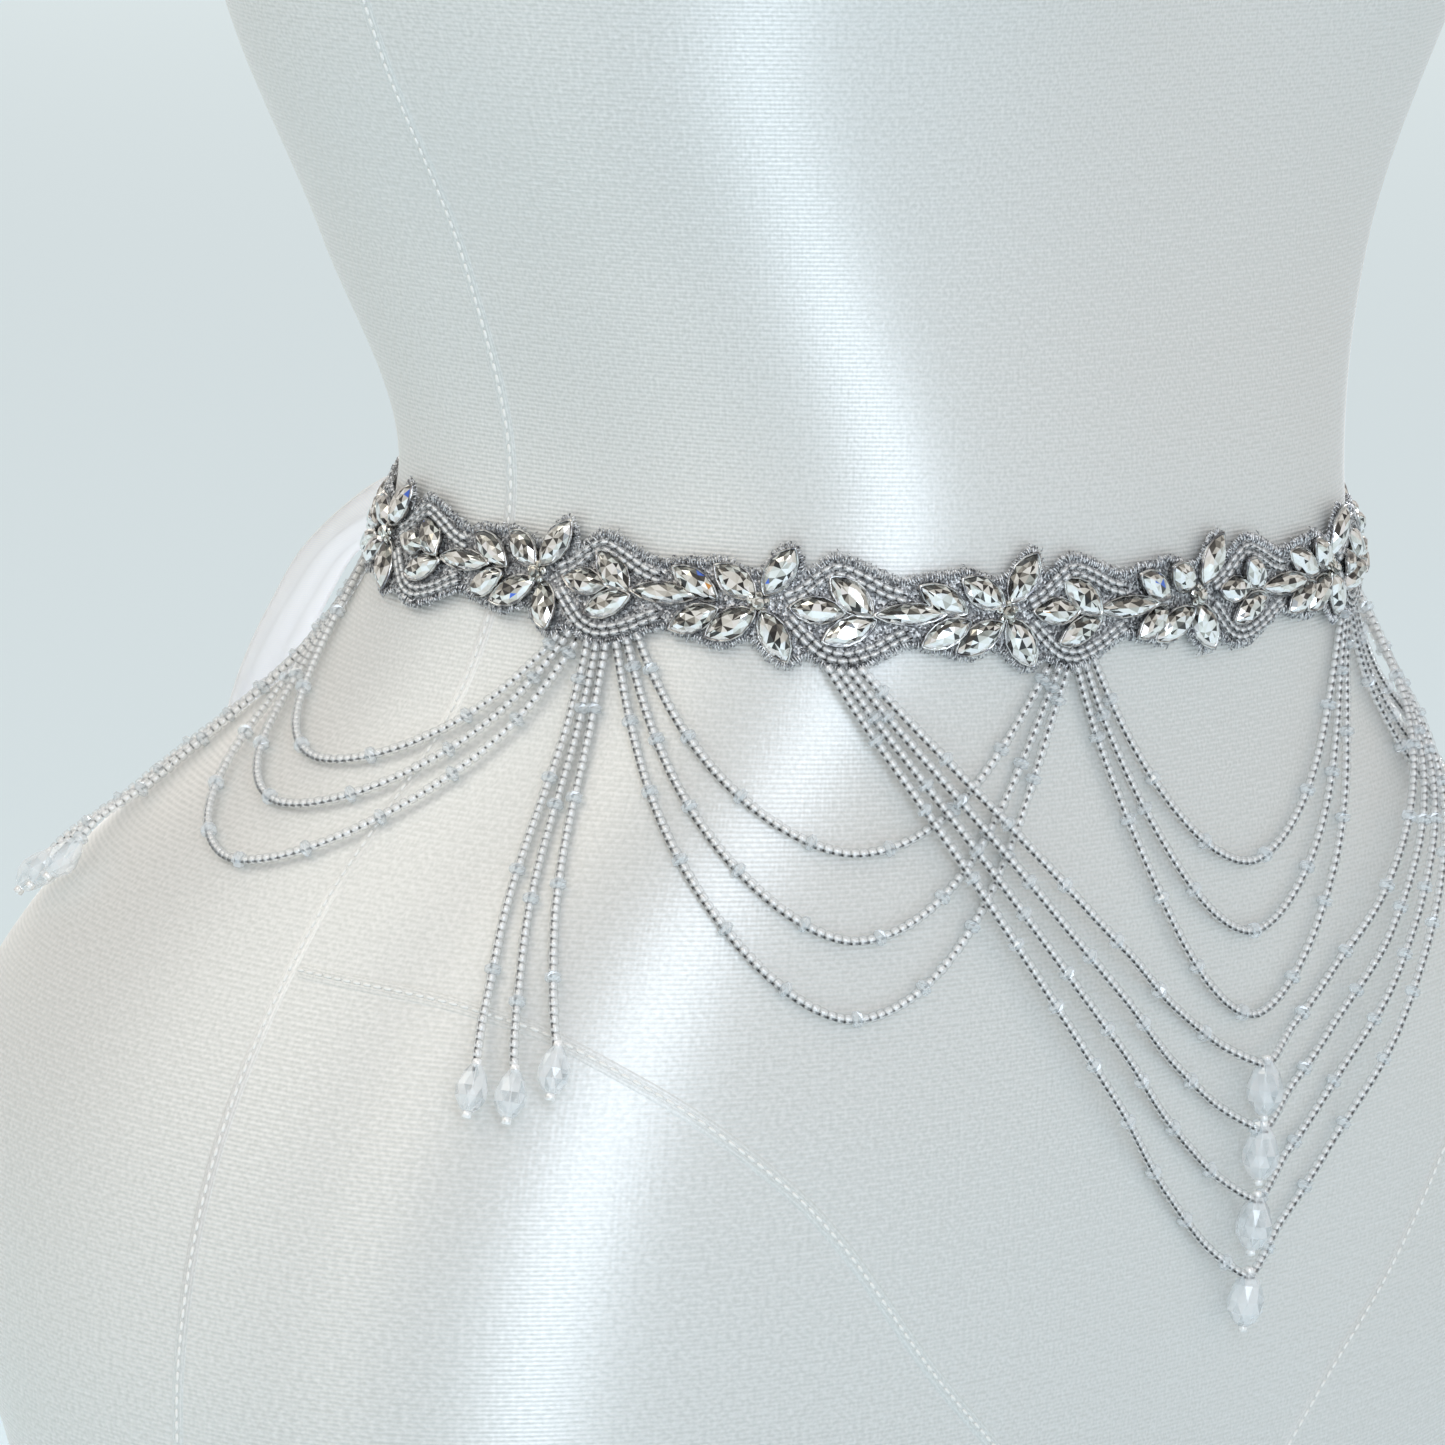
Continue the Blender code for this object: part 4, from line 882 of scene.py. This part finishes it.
def bead_row(points, radius, step, every=0, first=0):
    """Seed beads along a path, with a rondelle at every so many places and a dark dash, thread and painted
    shade, at each junction.
    """
    here, run = along_path(points, step)
    count = len(here)
    axes = bead_axes(run, chance.uniform(0, 6.28, count))
    odd = np.zeros(count, bool)
    if every:
        odd[first::every] = True
    seeds = ~odd
    wobble = chance.uniform(0.92, 1.06, (count, 1))
    size = np.column_stack([radius * wobble, radius * wobble, np.full(count, step * GLASS_LONG)])
    lined = np.column_stack([radius * CORE_WIDE * wobble, radius * CORE_WIDE * wobble, np.full(count, step)])
    joined = np.tile((radius * DASH_WIDE, radius * DASH_WIDE, step * DASH_LONG), (count, 1))
    away = here * (1, 1, 0) / np.linalg.norm(here[:, :2], axis=1, keepdims=True)
    # Painted shade: the dark dash is moved towards the junction's lower, shaded side and in front of it
    shaded = np.stack([away[:, 1], -away[:, 0], 0 * away[:, 0] - 1], -1) * SHADE_DIRECTION
    shaded -= (shaded * run).sum(1, keepdims=True) * run
    gap = here + run * step / 2 + (shaded * DASH_SIDE + away * DASH_FRONT) * radius
    faceted = np.tile((RONDELLE_RADIUS, RONDELLE_RADIUS, RONDELLE_LONG), (count, 1))
    return {
        "glass": copies(barrel, here[seeds], axes[seeds], size[seeds]),
        "core": copies(core, here[seeds], axes[seeds], lined[seeds]),
        "link": copies(link, gap, axes, joined),
        "rondelle": copies(rondelle, here[odd], axes[odd], faceted[odd]),
    }


def bead_piece(name, rows):
    """One piece from several bead rows: clear barrels, silver cores and dark dashes between, thread and
    painted shade.
    """
    kinds = [("glass", clear_glass), ("core", silver_lining), ("link", thread_and_shade_dash)]
    parts = [gather([row[kind] for row in rows]) for kind, material in kinds]
    points, groups = gather(parts)
    piece = make_piece(name, points, groups, [material for kind, material in kinds])
    counts = [sum(len(group) for group in part) for points, part in parts]
    piece.data.polygons.foreach_set("material_index", np.repeat([0, 1, 2], counts).astype(np.int32))
    return piece


print("seed bead: %.2f mm long, %.1f mm wide" % (BEAD_STEP / MM, BEAD_RADIUS * 2 / MM))

# %% [markdown]
# Two rows of small beads frame each diamond, and five small beads round a larger one sit at each
# flower's middle. The rows follow the layout's bands, rounded at the corners.

# %% Bead bands on the belt
def band_path(rows, unit, shift):
    """A band's line on the belt, a smooth curve through its points, moved sideways by shift."""
    run = dict(rows, run=np.arange(len(rows["x"])))
    at = np.linspace(0, len(rows["x"]) - 1, 90)
    x, y = smooth(run, "run", "x", at), smooth(run, "run", "y", at)
    slope = np.stack([np.gradient(x), np.gradient(y)], -1)
    slope /= np.linalg.norm(slope, axis=1, keepdims=True)
    x, y = x - slope[:, 1] * shift, y + slope[:, 0] * shift
    return place(flower_at(unit) + x * MM, y * MM, NET_OUT + 1.1 * MM)


BAND_RADIUS, BAND_STEP, BAND_SHIFT = 0.76 * MM, 2.3 * MM, 0.78
band_rows = [bead_row(band_path(band, unit, shift), BAND_RADIUS, BAND_STEP)
             for unit in UNITS for band in (UPPER_BAND, LOWER_BAND) for shift in (-BAND_SHIFT, BAND_SHIFT)]
bead_piece("belt_beads", band_rows)
ball = turned_shape([(-0.95, 0.3), (-0.5, 0.85), (0.1, 1), (0.6, 0.75), (0.85, 0.35)], 7, np.pi / 7)
turns = np.radians(np.arange(5) * 72 + 18)
cluster = np.concatenate([np.stack([np.cos(turns), np.sin(turns)], -1) * 1.75, [[0, 0]]]) + (-0.6, -0.6)
spots = (np.stack([flower_at(UNITS) / MM, 0 * UNITS], -1)[:, None] + cluster[None]).reshape(-1, 2)
tall = np.tile([3.0] * 5 + [3.9], len(UNITS)) * MM
places = place(spots[:, 0] * MM, spots[:, 1] * MM, tall)
axes = axes_at(spots[:, 0] * MM, spots[:, 1] * MM, chance.uniform(0, 3, len(spots)))
radii = np.tile([0.85] * 5 + [1.4], len(UNITS))[:, None] * MM
points, groups = copies(ball, places, axes, np.repeat(radii, 3, 1))
# Each facet of the heart beads is painted a random brightness: painted reflection
painted_facet_light = chance.uniform(0.1, 0.7, sum(len(group) for group in groups))
flower_hearts = make_piece("flower_hearts", points, groups, [foiled_crystal], painted_facet_light=painted_facet_light, flat=True)
print("bead bands:", len(band_rows), "flower hearts:", len(UNITS))

# %% [markdown]
# ## Hanging strands
# A strand between two points hangs in a curve that is steep at its ends and flat at its lowest point.
# A true catenary would not fit, since the strand lies on a body that bulges. So its drop below the
# belt is a power curve, whose depth and power were measured: swags use 1.8, the pointed drape 1.28.

# %% Strand routes
ANCHOR_X = 17.0
SLOT = 2.2 * MM
STRAND_OUT = 1.6 * MM
CROSSING_OUT = 4.1 * MM
DROP_OUT = 4.7 * MM
SWAGS = table("first last inner middle outer", (-1, 1, 53, 66, 82), (1, 3, 52, 70, 86), (3, 5, 60, 75, 93),
              (5, 7, 52, 70, 86), (7, 9, 53, 66, 82))
SWAG_POWER = 1.8
TASSELS = table("diamond left middle right drift_left drift_middle drift_right",
                (-1, 108, 104, 99, 3.5, 8.3, 13.1), (1, 113, 112, 105, 3.5, 8.3, 13.1),
                (7, 105, 112, 113, -13.1, -8.3, -3.5), (9, 99, 104, 108, -13.1, -8.3, -3.5))
DRIFT_POWER = 1.5
TASSEL_SLOTS = (-1, 0, 1)
DRAPE_FIRST, DRAPE_LAST = 2, 6
DRAPE_DEPTHS = (150, 133, 117.5, 103.5)
DRAPE_SLOTS = (-1.5, -0.5, 0.5, 1.5)
DRAPE_POWER = 1.28


def anchor_at(unit):
    """The distance along the belt line of the foot of a unit's diamond."""
    return flower_at(unit) + ANCHOR_X * MM


def root(slot):
    """How far below the belt line a strand starts: just under the net's edge."""
    return -np.interp(ANCHOR_X + slot * SLOT / MM, BOTTOM_EDGE["x"], BOTTOM_EDGE["y"]) * MM - 0.4 * MM


def hanging(left, right, left_slot, right_slot, depth, power):
    """A strand between two roots: its drop is a power curve of the distance from its middle."""
    u = np.linspace(-1, 1, 401)
    start, end = anchor_at(left) + left_slot * SLOT, anchor_at(right) + right_slot * SLOT
    along = (start + end) / 2 + (end - start) / 2 * u
    top = np.where(u < 0, root(left_slot), root(right_slot))
    return u, along, top + (depth * MM - top) * (1 - np.abs(u) ** power)


def swag_slot(unit):
    """The slot of a swag's innermost strand: beside a tassel where there is one."""
    return 2 if unit in TASSELS["diamond"] else 0.5


strands = {}
drops = []
for number, (first, last, *depths) in enumerate(zip(*SWAGS.values()), 1):
    left, right = swag_slot(first), -swag_slot(last)
    for i, depth in enumerate(depths[::-1]):
        u, along, drop = hanging(first, last, left + i, right - i, depth, SWAG_POWER)
        strands.setdefault("swag_%d" % number, []).append(place(along, -drop, STRAND_OUT))
for number, row in enumerate(zip(*TASSELS.values()), 1):
    for slot, length, drift in zip(TASSEL_SLOTS, row[1:4], row[4:7]):
        t = np.linspace(0, 1, 201)
        along = anchor_at(row[0]) + slot * SLOT + (drift * MM - slot * SLOT) * t**DRIFT_POWER
        drop = root(slot) + (length * MM - root(slot)) * t
        out = STRAND_OUT + (DROP_OUT - STRAND_OUT) * soft_step(drop[-1] - 22 * MM, drop[-1] - 2 * MM, drop)
        strands.setdefault("tassel_%d" % number, []).append(place(along, -drop, out))
        drops.append((along[-1], drop[-1]))
for slot, depth in zip(DRAPE_SLOTS, DRAPE_DEPTHS):
    u, along, drop = hanging(DRAPE_FIRST, DRAPE_LAST, slot, -slot, depth, DRAPE_POWER)
    over, near_point = soft_step(0.25, 0.42, np.abs(u)), 1 - soft_step(0, 0.13, np.abs(u))
    out = STRAND_OUT + (CROSSING_OUT - STRAND_OUT) * over + (DROP_OUT - STRAND_OUT) * near_point
    strands.setdefault("front_drape", []).append(place(along, -drop, out))
    drops.append((along[len(u) // 2], drop.max()))
lengths = {name: [np.linalg.norm(np.diff(path, axis=0), axis=1).sum() for path in paths]
           for name, paths in strands.items()}
for name, found in lengths.items():
    print(name, "strands, cm:", [round(float(length / CM), 1) for length in found])

# %% Beads on the strands
# Clear glass, cut and polished: little more than its rim and its shine is seen, and the rim is
# painted shade: darker where the glass is seen edge-on
faceted_glass, tree, shader = new_material(
    "rondelle_glass_cut", "#f4f9fb", Roughness=0.04, Alpha=0.45, IOR=2.0, Specular_IOR_Level=1.0)
rim = add(tree, "ShaderNodeLayerWeight", inputs={"Blend": 0.5})
colour = ramp(tree, rim.outputs["Facing"], (0.2, "#f6fbfd"), (0.8, "#b9c4c8"))
tree.links.new(colour.outputs["Color"], shader.inputs["Base Color"])
rondelles = []
for name, paths in strands.items():
    rows = [bead_row(path, BEAD_RADIUS, BEAD_STEP, int(chance.integers(9, 13)), int(chance.integers(3, 10)))
            for path in paths]
    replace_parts(bead_piece(name + "_beads", rows), name)
    rondelles += [row["rondelle"] for row in rows]
points, groups = gather(rondelles)
rondelle_piece = make_piece("strand_rondelles", points, groups, [faceted_glass], flat=True)
print("rondelles:", len(points) // len(rondelle[0]), "strand length: %.1f m" % sum(map(sum, lengths.values())))

# %% [markdown]
# ## Teardrops
# Each strand of a tassel, and each point of the drape, ends in a clear teardrop with cut facets and a
# small silver stopper bead. The drop is a turned profile with few sides, each ring turned half a
# side so the facets become triangles, and it keeps flat faces.

# %% Teardrops
# Length and radius of a drop, and the stopper bead's size
TASSEL_DROP = (9.8 * MM, 3.4 * MM)
DRAPE_DROP = (11.8 * MM, 4.1 * MM)
STOPPER = (1.05 * MM, 1.05 * MM, 1.9 * MM)


def faceted_drop():
    """A drop along -z: rings of the profile, each turned half a side, joined by triangles."""
    sides = 11
    profile = ((0.0, 0.34), (-0.20, 0.72), (-0.50, 1.0), (-0.72, 0.96), (-0.92, 0.62), (-1.0, 0.36))
    points, groups = turned_shape(profile, sides, np.pi / sides)
    i, j = np.meshgrid(np.arange(len(profile) - 1), np.arange(sides), indexing="ij")
    k = (j + 1) % sides
    low, high = i * sides, (i + 1) * sides
    slopes = [np.stack([low + j, high + j, low + k], -1), np.stack([low + k, high + j, high + k], -1)]
    return points, [np.concatenate([slope.reshape(-1, 3) for slope in slopes]), groups[1][:, ::-1]]


drop_at = np.array(drops)
top = place(drop_at[:, 0], -drop_at[:, 1], DROP_OUT)
foot = place(drop_at[:, 0], -drop_at[:, 1] - TASSEL_DROP[0], DROP_OUT)
upward = (top - foot) / np.linalg.norm(top - foot, axis=1, keepdims=True)
axes = bead_axes(upward, chance.uniform(0, 1, len(drops)))
crown = top + upward * 0.8 * MM
in_drape = np.arange(len(drops)) >= len(drops) - len(DRAPE_SLOTS)
long, wide = np.where(in_drape[:, None], DRAPE_DROP, TASSEL_DROP).T
size = np.column_stack([wide, wide, long])
points, groups = copies(faceted_drop(), crown, axes, size)
# Clear glass, pressed and fire-polished, with a faint blue tint: the facets seen through facets are
# painted, each facet its own brightness from grey to white
drop_glass, tree, shader = new_material(
    "drop_glass_polished", "#eef6fb", Roughness=0.04, Alpha=0.36, IOR=1.9, Specular_IOR_Level=1.0)
facet = add(tree, "ShaderNodeAttribute", attribute_name="painted_facet_light")
colour = ramp(tree, facet.outputs["Fac"],
              (0.0, "#5f6a70"), (0.2, "#b9c4c9"), (0.6, "#f4fafd"), (1.0, "#ffffff"))
tree.links.new(colour.outputs["Color"], shader.inputs["Base Color"])
# A random painted brightness for each facet stands in for the light reflected and seen through it
painted_facet_light = chance.beta(1.6, 1.0, sum(len(group) for group in groups))
teardrops = make_piece("teardrops", points, groups, [drop_glass], painted_facet_light=painted_facet_light, flat=True)
stop = crown - upward * (long[:, None] + 0.7 * MM)
size = np.tile(STOPPER, (len(drops), 1))
bore = np.column_stack([wide * 0.06, wide * 0.06, long * 1.1])
points, groups = gather([copies(core, stop, bead_axes(-upward, chance.uniform(0, 3, len(drops))), size),
                         copies(barrel, crown + upward * 0.3 * MM, axes, size),
                         copies(core, crown - upward * long[:, None] / 2, axes, bore)])
stoppers = make_piece("stopper_beads", points, groups, [silver_lining])
print("teardrops:", len(drops), "the longest %.1f mm" % (long.max() / MM))

# %% [markdown]
# ## Ribbon and bow
# Satin ribbon 25 mm wide is sewn to both ends of the belt and tied behind. The ribbon is a sheet
# carried along a route, its width turning from upright at the knot to level where it hangs. It is
# gathered near the knot, so folds run along it there and fade out.

# %% Ribbon pieces
RIBBON_WIDTH, RIBBON_LEVEL, RIBBON_GATHER = 25.0, -1 * MM, 10.0
SKIN_GAP, RIBBON_GAP, KNOT_CLEARANCE = 0.5 * MM, 0.4 * MM, 1.2 * MM
KNOT = (22 * MM, 14 * MM, 20 * MM)
RIBBON_TURN = 4.0
LOOP_RIGHT = table(
    "side out up width", (12.6, 9, -3, 12), (21, 15, -6, 15), (29, 26, -11, 20), (34.5, 37, -20, 25),
    (36, 46, -33, 25), (36.5, 54, -47, 25), (36.5, 59.5, -60, 25), (37, 61.5, -70, 25),
    (35, 58, -72.5, 25), (32, 51, -62, 25), (29, 39.5, -45, 25), (25, 27, -28, 23),
    (19.5, 14, -11.5, 17), (12.6, 5, -3, 12),
)
LOOP_LEFT = table(
    "side out up width", (12.6, 9, -1, 12), (23, 16, 0, 17), (34, 27, -5, 22), (41, 38, -15, 25),
    (45, 47, -30, 25), (48, 54, -45, 25), (49, 59, -58, 25), (48, 60, -66, 25), (43.5, 55, -66, 25),
    (40, 48, -55, 25), (35, 38, -39, 25), (28, 26, -23, 23), (20, 13.5, -10, 17), (12.6, 5, -3, 12),
)
TAIL_RIGHT = table("side out up width",
                   (5.5, 7, -10.8, 9), (8, 16, -25, 13), (13, 36, -52, 21), (18, 60, -84, 25),
                   (22, 72, -122, 25), (25, 69, -165, 25), (23, 60, -212, 25))
TAIL_LEFT = table("side out up width",
                  (5.5, 7, -10.8, 9), (8, 17, -26, 13), (14, 38, -54, 21), (20, 61, -86, 25),
                  (26, 72, -124, 25), (26, 69, -160, 25), (30, 63, -190, 25))
ACROSS = np.linspace(-1, 1, 25)


def ribbon_sheet(node, grid):
    """A ribbon piece from a grid of points. Its cut is a rectangle: the ribbon's width by the length."""
    rows, columns = grid.shape[:2]
    length = np.linalg.norm(np.diff(grid[:, columns // 2], axis=0), axis=1).sum()
    along, across = np.diff(grid, axis=0)[:, :-1], np.diff(grid, axis=1)[:-1]
    area = np.linalg.norm(np.cross(along, across), axis=-1).sum()
    uv = grid_uv(rows, columns, RIBBON_WIDTH * MM, length)
    piece = make_piece(node + "_satin", grid.reshape(-1, 3), [grid_faces(rows, columns)], [satin_ribbon], uv)
    wall = piece.modifiers.new("thickness", "SOLIDIFY")
    wall.thickness = 0.35 * MM
    wall.offset = 0
    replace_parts(piece, node)
    cut = RIBBON_WIDTH * MM * length
    print(node, "%.0f mm long, cut %.1f square cm, modelled %.1f" % (length / MM, cut * 1e4, area * 1e4))


def ribbon_end(node, edge, knot_side):
    """The ribbon from the belt to the knot: its width narrows as cosine folds rise in it."""
    share = np.linspace(0, 1, 30)[:, None]
    along = edge + (knot_side - edge) * share
    half = (RIBBON_WIDTH - RIBBON_GATHER * share) / 2 * MM
    folds = 0.75 * MM * share * (1 - np.cos(4 * np.pi * ACROSS[None, :] + 0.6)) / 2
    grid = place(along, ACROSS[None, :] * half + RIBBON_LEVEL, SKIN_GAP + 0.6 * MM + folds)
    ribbon_sheet(node, grid)


def bow_piece(node, side, route, start_level, lean, stations, slant, folds):
    """A loop or tail: a width vector carried along the route, turned from upright at the knot to level."""
    rows = dict(route, run=np.linspace(0, 1, len(route["up"])))
    run = np.linspace(0, 1, stations)
    side_at, out, up, width = [smooth(rows, "run", column, run) * MM for column in route]
    middle = knot_centre + np.stack([side * side_at, out - KNOT[1] / 2, up], -1)
    tangent = np.gradient(middle, axis=0)
    tangent /= np.linalg.norm(tangent, axis=1, keepdims=True)
    ends = np.minimum(run, 1 - run) if slant == 0 else run
    turned = soft_step(0, RIBBON_TURN, ends * len(route["up"]))[:, None]
    level = np.array(start_level) * (1 - turned) + np.array([1.0, -side * lean, 0]) * turned
    level -= (level * tangent).sum(1, keepdims=True) * tangent
    level /= np.linalg.norm(level, axis=1, keepdims=True)
    normal = np.cross(level, tangent)
    gathered = np.exp(-ends * 9)[:, None]
    wave = 1.1 * MM * gathered * np.cos(folds * np.pi * ACROSS[None, :])
    wave = wave + 0.5 * MM * np.sin(2.2 * np.pi * ACROSS[None, :] + 9 * run[:, None]) * (1 - gathered)
    crown = 1.2 * MM * np.sin(np.pi * run)[:, None] * (1 - ACROSS[None, :] ** 2)
    grid = middle[:, None] + level[:, None] * (ACROSS * width[:, None] / 2)[..., None]
    grid = grid + normal[:, None] * (crown + wave)[..., None]
    grid += tangent[:, None] * (soft_step(0.9, 1, run)[:, None] * ACROSS * slant * MM)[..., None]
    ribbon_sheet(node, grid)


left_edge = flower_at(LAST_UNIT) + END_EDGE["x"].max() * MM + RIBBON_GAP
right_edge = flower_at(FIRST_UNIT) + START_EDGE["x"].min() * MM - RIBBON_GAP
bow_middle = (left_edge + right_edge + BELT_LENGTH) / 2
reach = KNOT[0] / 2 + KNOT_CLEARANCE
ribbon_end("ribbon_left", left_edge - 2.5 * MM, bow_middle - reach)
ribbon_end("ribbon_right", right_edge + 2.5 * MM, bow_middle - BELT_LENGTH + reach)
knot_centre = place(bow_middle, RIBBON_LEVEL, KNOT[1] / 2 + SKIN_GAP + KNOT_CLEARANCE)
print("knot at", [round(float(v), 3) for v in knot_centre])

# %% [markdown]
# The knot is the ribbon wrapped once round its own waist: a short fat barrel with a rounded square
# section and pleats that run across it. The loops and tails leave it, so they are placed from its middle.

# %% Knot and bow
KNOT_ROWS, KNOT_SIDES, SQUARENESS = 41, 72, 2.6
share = np.linspace(-1, 1, KNOT_ROWS)[:, None]
turn = np.linspace(0, 2 * np.pi, KNOT_SIDES, endpoint=False)[None, :]
swell = np.sqrt(np.clip(1 - (share * 0.94) ** 4, 0, 1))
pleats = 1 + 0.055 * np.cos(share * 7.5 * np.pi + 1.1 * np.sin(turn))
squarer = (np.abs(np.cos(turn)) ** SQUARENESS + np.abs(np.sin(turn)) ** SQUARENESS) ** (-1 / SQUARENESS)
radius = squarer * swell * pleats * 0.97
half = np.array(KNOT) / 2
forward, upward = np.cos(turn) * radius * half[1], np.sin(turn) * radius * half[2]
grid = np.stack([share * half[0] + 0 * turn, forward, upward], -1)
around = np.arange(KNOT_SIDES)
ends = np.array([around[::-1], (KNOT_ROWS - 1) * KNOT_SIDES + around])
uv = np.concatenate([grid_uv(KNOT_ROWS, KNOT_SIDES, 0.06, 0.022, True), np.zeros((2 * KNOT_SIDES, 2))])
faces = [grid_faces(KNOT_ROWS, KNOT_SIDES, True)[:, ::-1], ends[:, ::-1]]
knot_piece = make_piece("bow_knot_satin", (grid + knot_centre).reshape(-1, 3), faces, [satin_ribbon], uv)
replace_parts(knot_piece, "bow_knot")
print("knot: %.0f by %.0f by %.0f mm" % tuple(size / MM for size in KNOT))
bow_piece("bow_loop_right", -1, LOOP_RIGHT, (0, 0, -1), 0.22, 90, 0, 3)
bow_piece("bow_loop_left", 1, LOOP_LEFT, (0, 0, 1), 0.22, 90, 0, 3)
bow_piece("bow_tail_right", -1, TAIL_RIGHT, (1, 0, 0), 0, 80, 9, 2)
bow_piece("bow_tail_left", 1, TAIL_LEFT, (1, 0, 0), 0, 80, -9, 2)

# %% [markdown]
# ## Floor, lights and backdrop light
# The picture is a bright studio shot with a pale blue-grey surround. Large area lamps give soft
# edges. One tall lamp is placed where the form mirrors it to the camera as a long upright shine, a high
# one behind brightens the floor, and a small narrow one lights the bow through its satin.

# %% Floor and lights
floor_mesh = bpy.data.meshes.new("floor")
REACH = 9
floor_mesh.from_pydata([(-REACH, -REACH, 0), (REACH, -REACH, 0), (REACH, REACH, 0), (-REACH, REACH, 0)],
                       [], [(0, 1, 2, 3)])
floor = bpy.data.objects.new("floor", floor_mesh)
# Painted studio floor: matt, pale blue-grey
studio_paint, tree, shader = new_material("studio_floor_painted", "#e2f4fd", Roughness=0.9)
floor_mesh.materials.append(studio_paint)
bpy.context.scene.collection.objects.link(floor)


def lamp(name, angle, height, distance, size, power, colour, roll=0, spread=180):
    """A soft rectangular lamp at an angle round the form, turned towards the waist and rolled by degrees."""
    data = bpy.data.lights.new(name, "AREA")
    data.shape = "RECTANGLE"
    data.size, data.size_y = size
    data.energy = power
    data.spread = np.radians(spread)
    data.color = linear(colour)[:3]
    made = bpy.data.objects.new(name, data)
    made.visible_camera = False
    spot = Vector((distance * np.sin(np.radians(angle)), -distance * np.cos(np.radians(angle)), height))
    aim = (spot - Vector((0, 0, WAIST))).to_track_quat("Z", "Y").to_matrix().to_4x4()
    made.matrix_world = Matrix.Translation(spot) @ aim @ Matrix.Rotation(np.radians(roll), 4, "Z")
    bpy.context.scene.collection.objects.link(made)


lamp("tall_lamp", -33, 0.9, 2.0, (0.5, 2.0), 15.4, "#e0eeff", 18)
lamp("left_lamp", -100, 2.2, 1.7, (0.9, 0.9), 6.8, "#fff8ea")
lamp("rim_lamp", -150, 2.0, 1.8, (1.0, 1.2), 7.0, "#fefff8")
lamp("backdrop_lamp", 132, 4.2, 8.0, (5.0, 5.0), 126, "#fff8eb")
lamp("bow_lamp", 120, 0.7, 1.0, (0.3, 0.3), 0.7, "#e8f1ff", 0, 60)
print("lamps:", len(bpy.data.lights))
world = bpy.data.worlds.new("studio")
world.use_nodes = True
world.node_tree.nodes["Background"].inputs["Color"].default_value = linear("#fff9f5")
world.node_tree.nodes["Background"].inputs["Strength"].default_value = 0.646
bpy.context.scene.world = world
bpy.context.scene.view_settings.view_transform = "Standard"
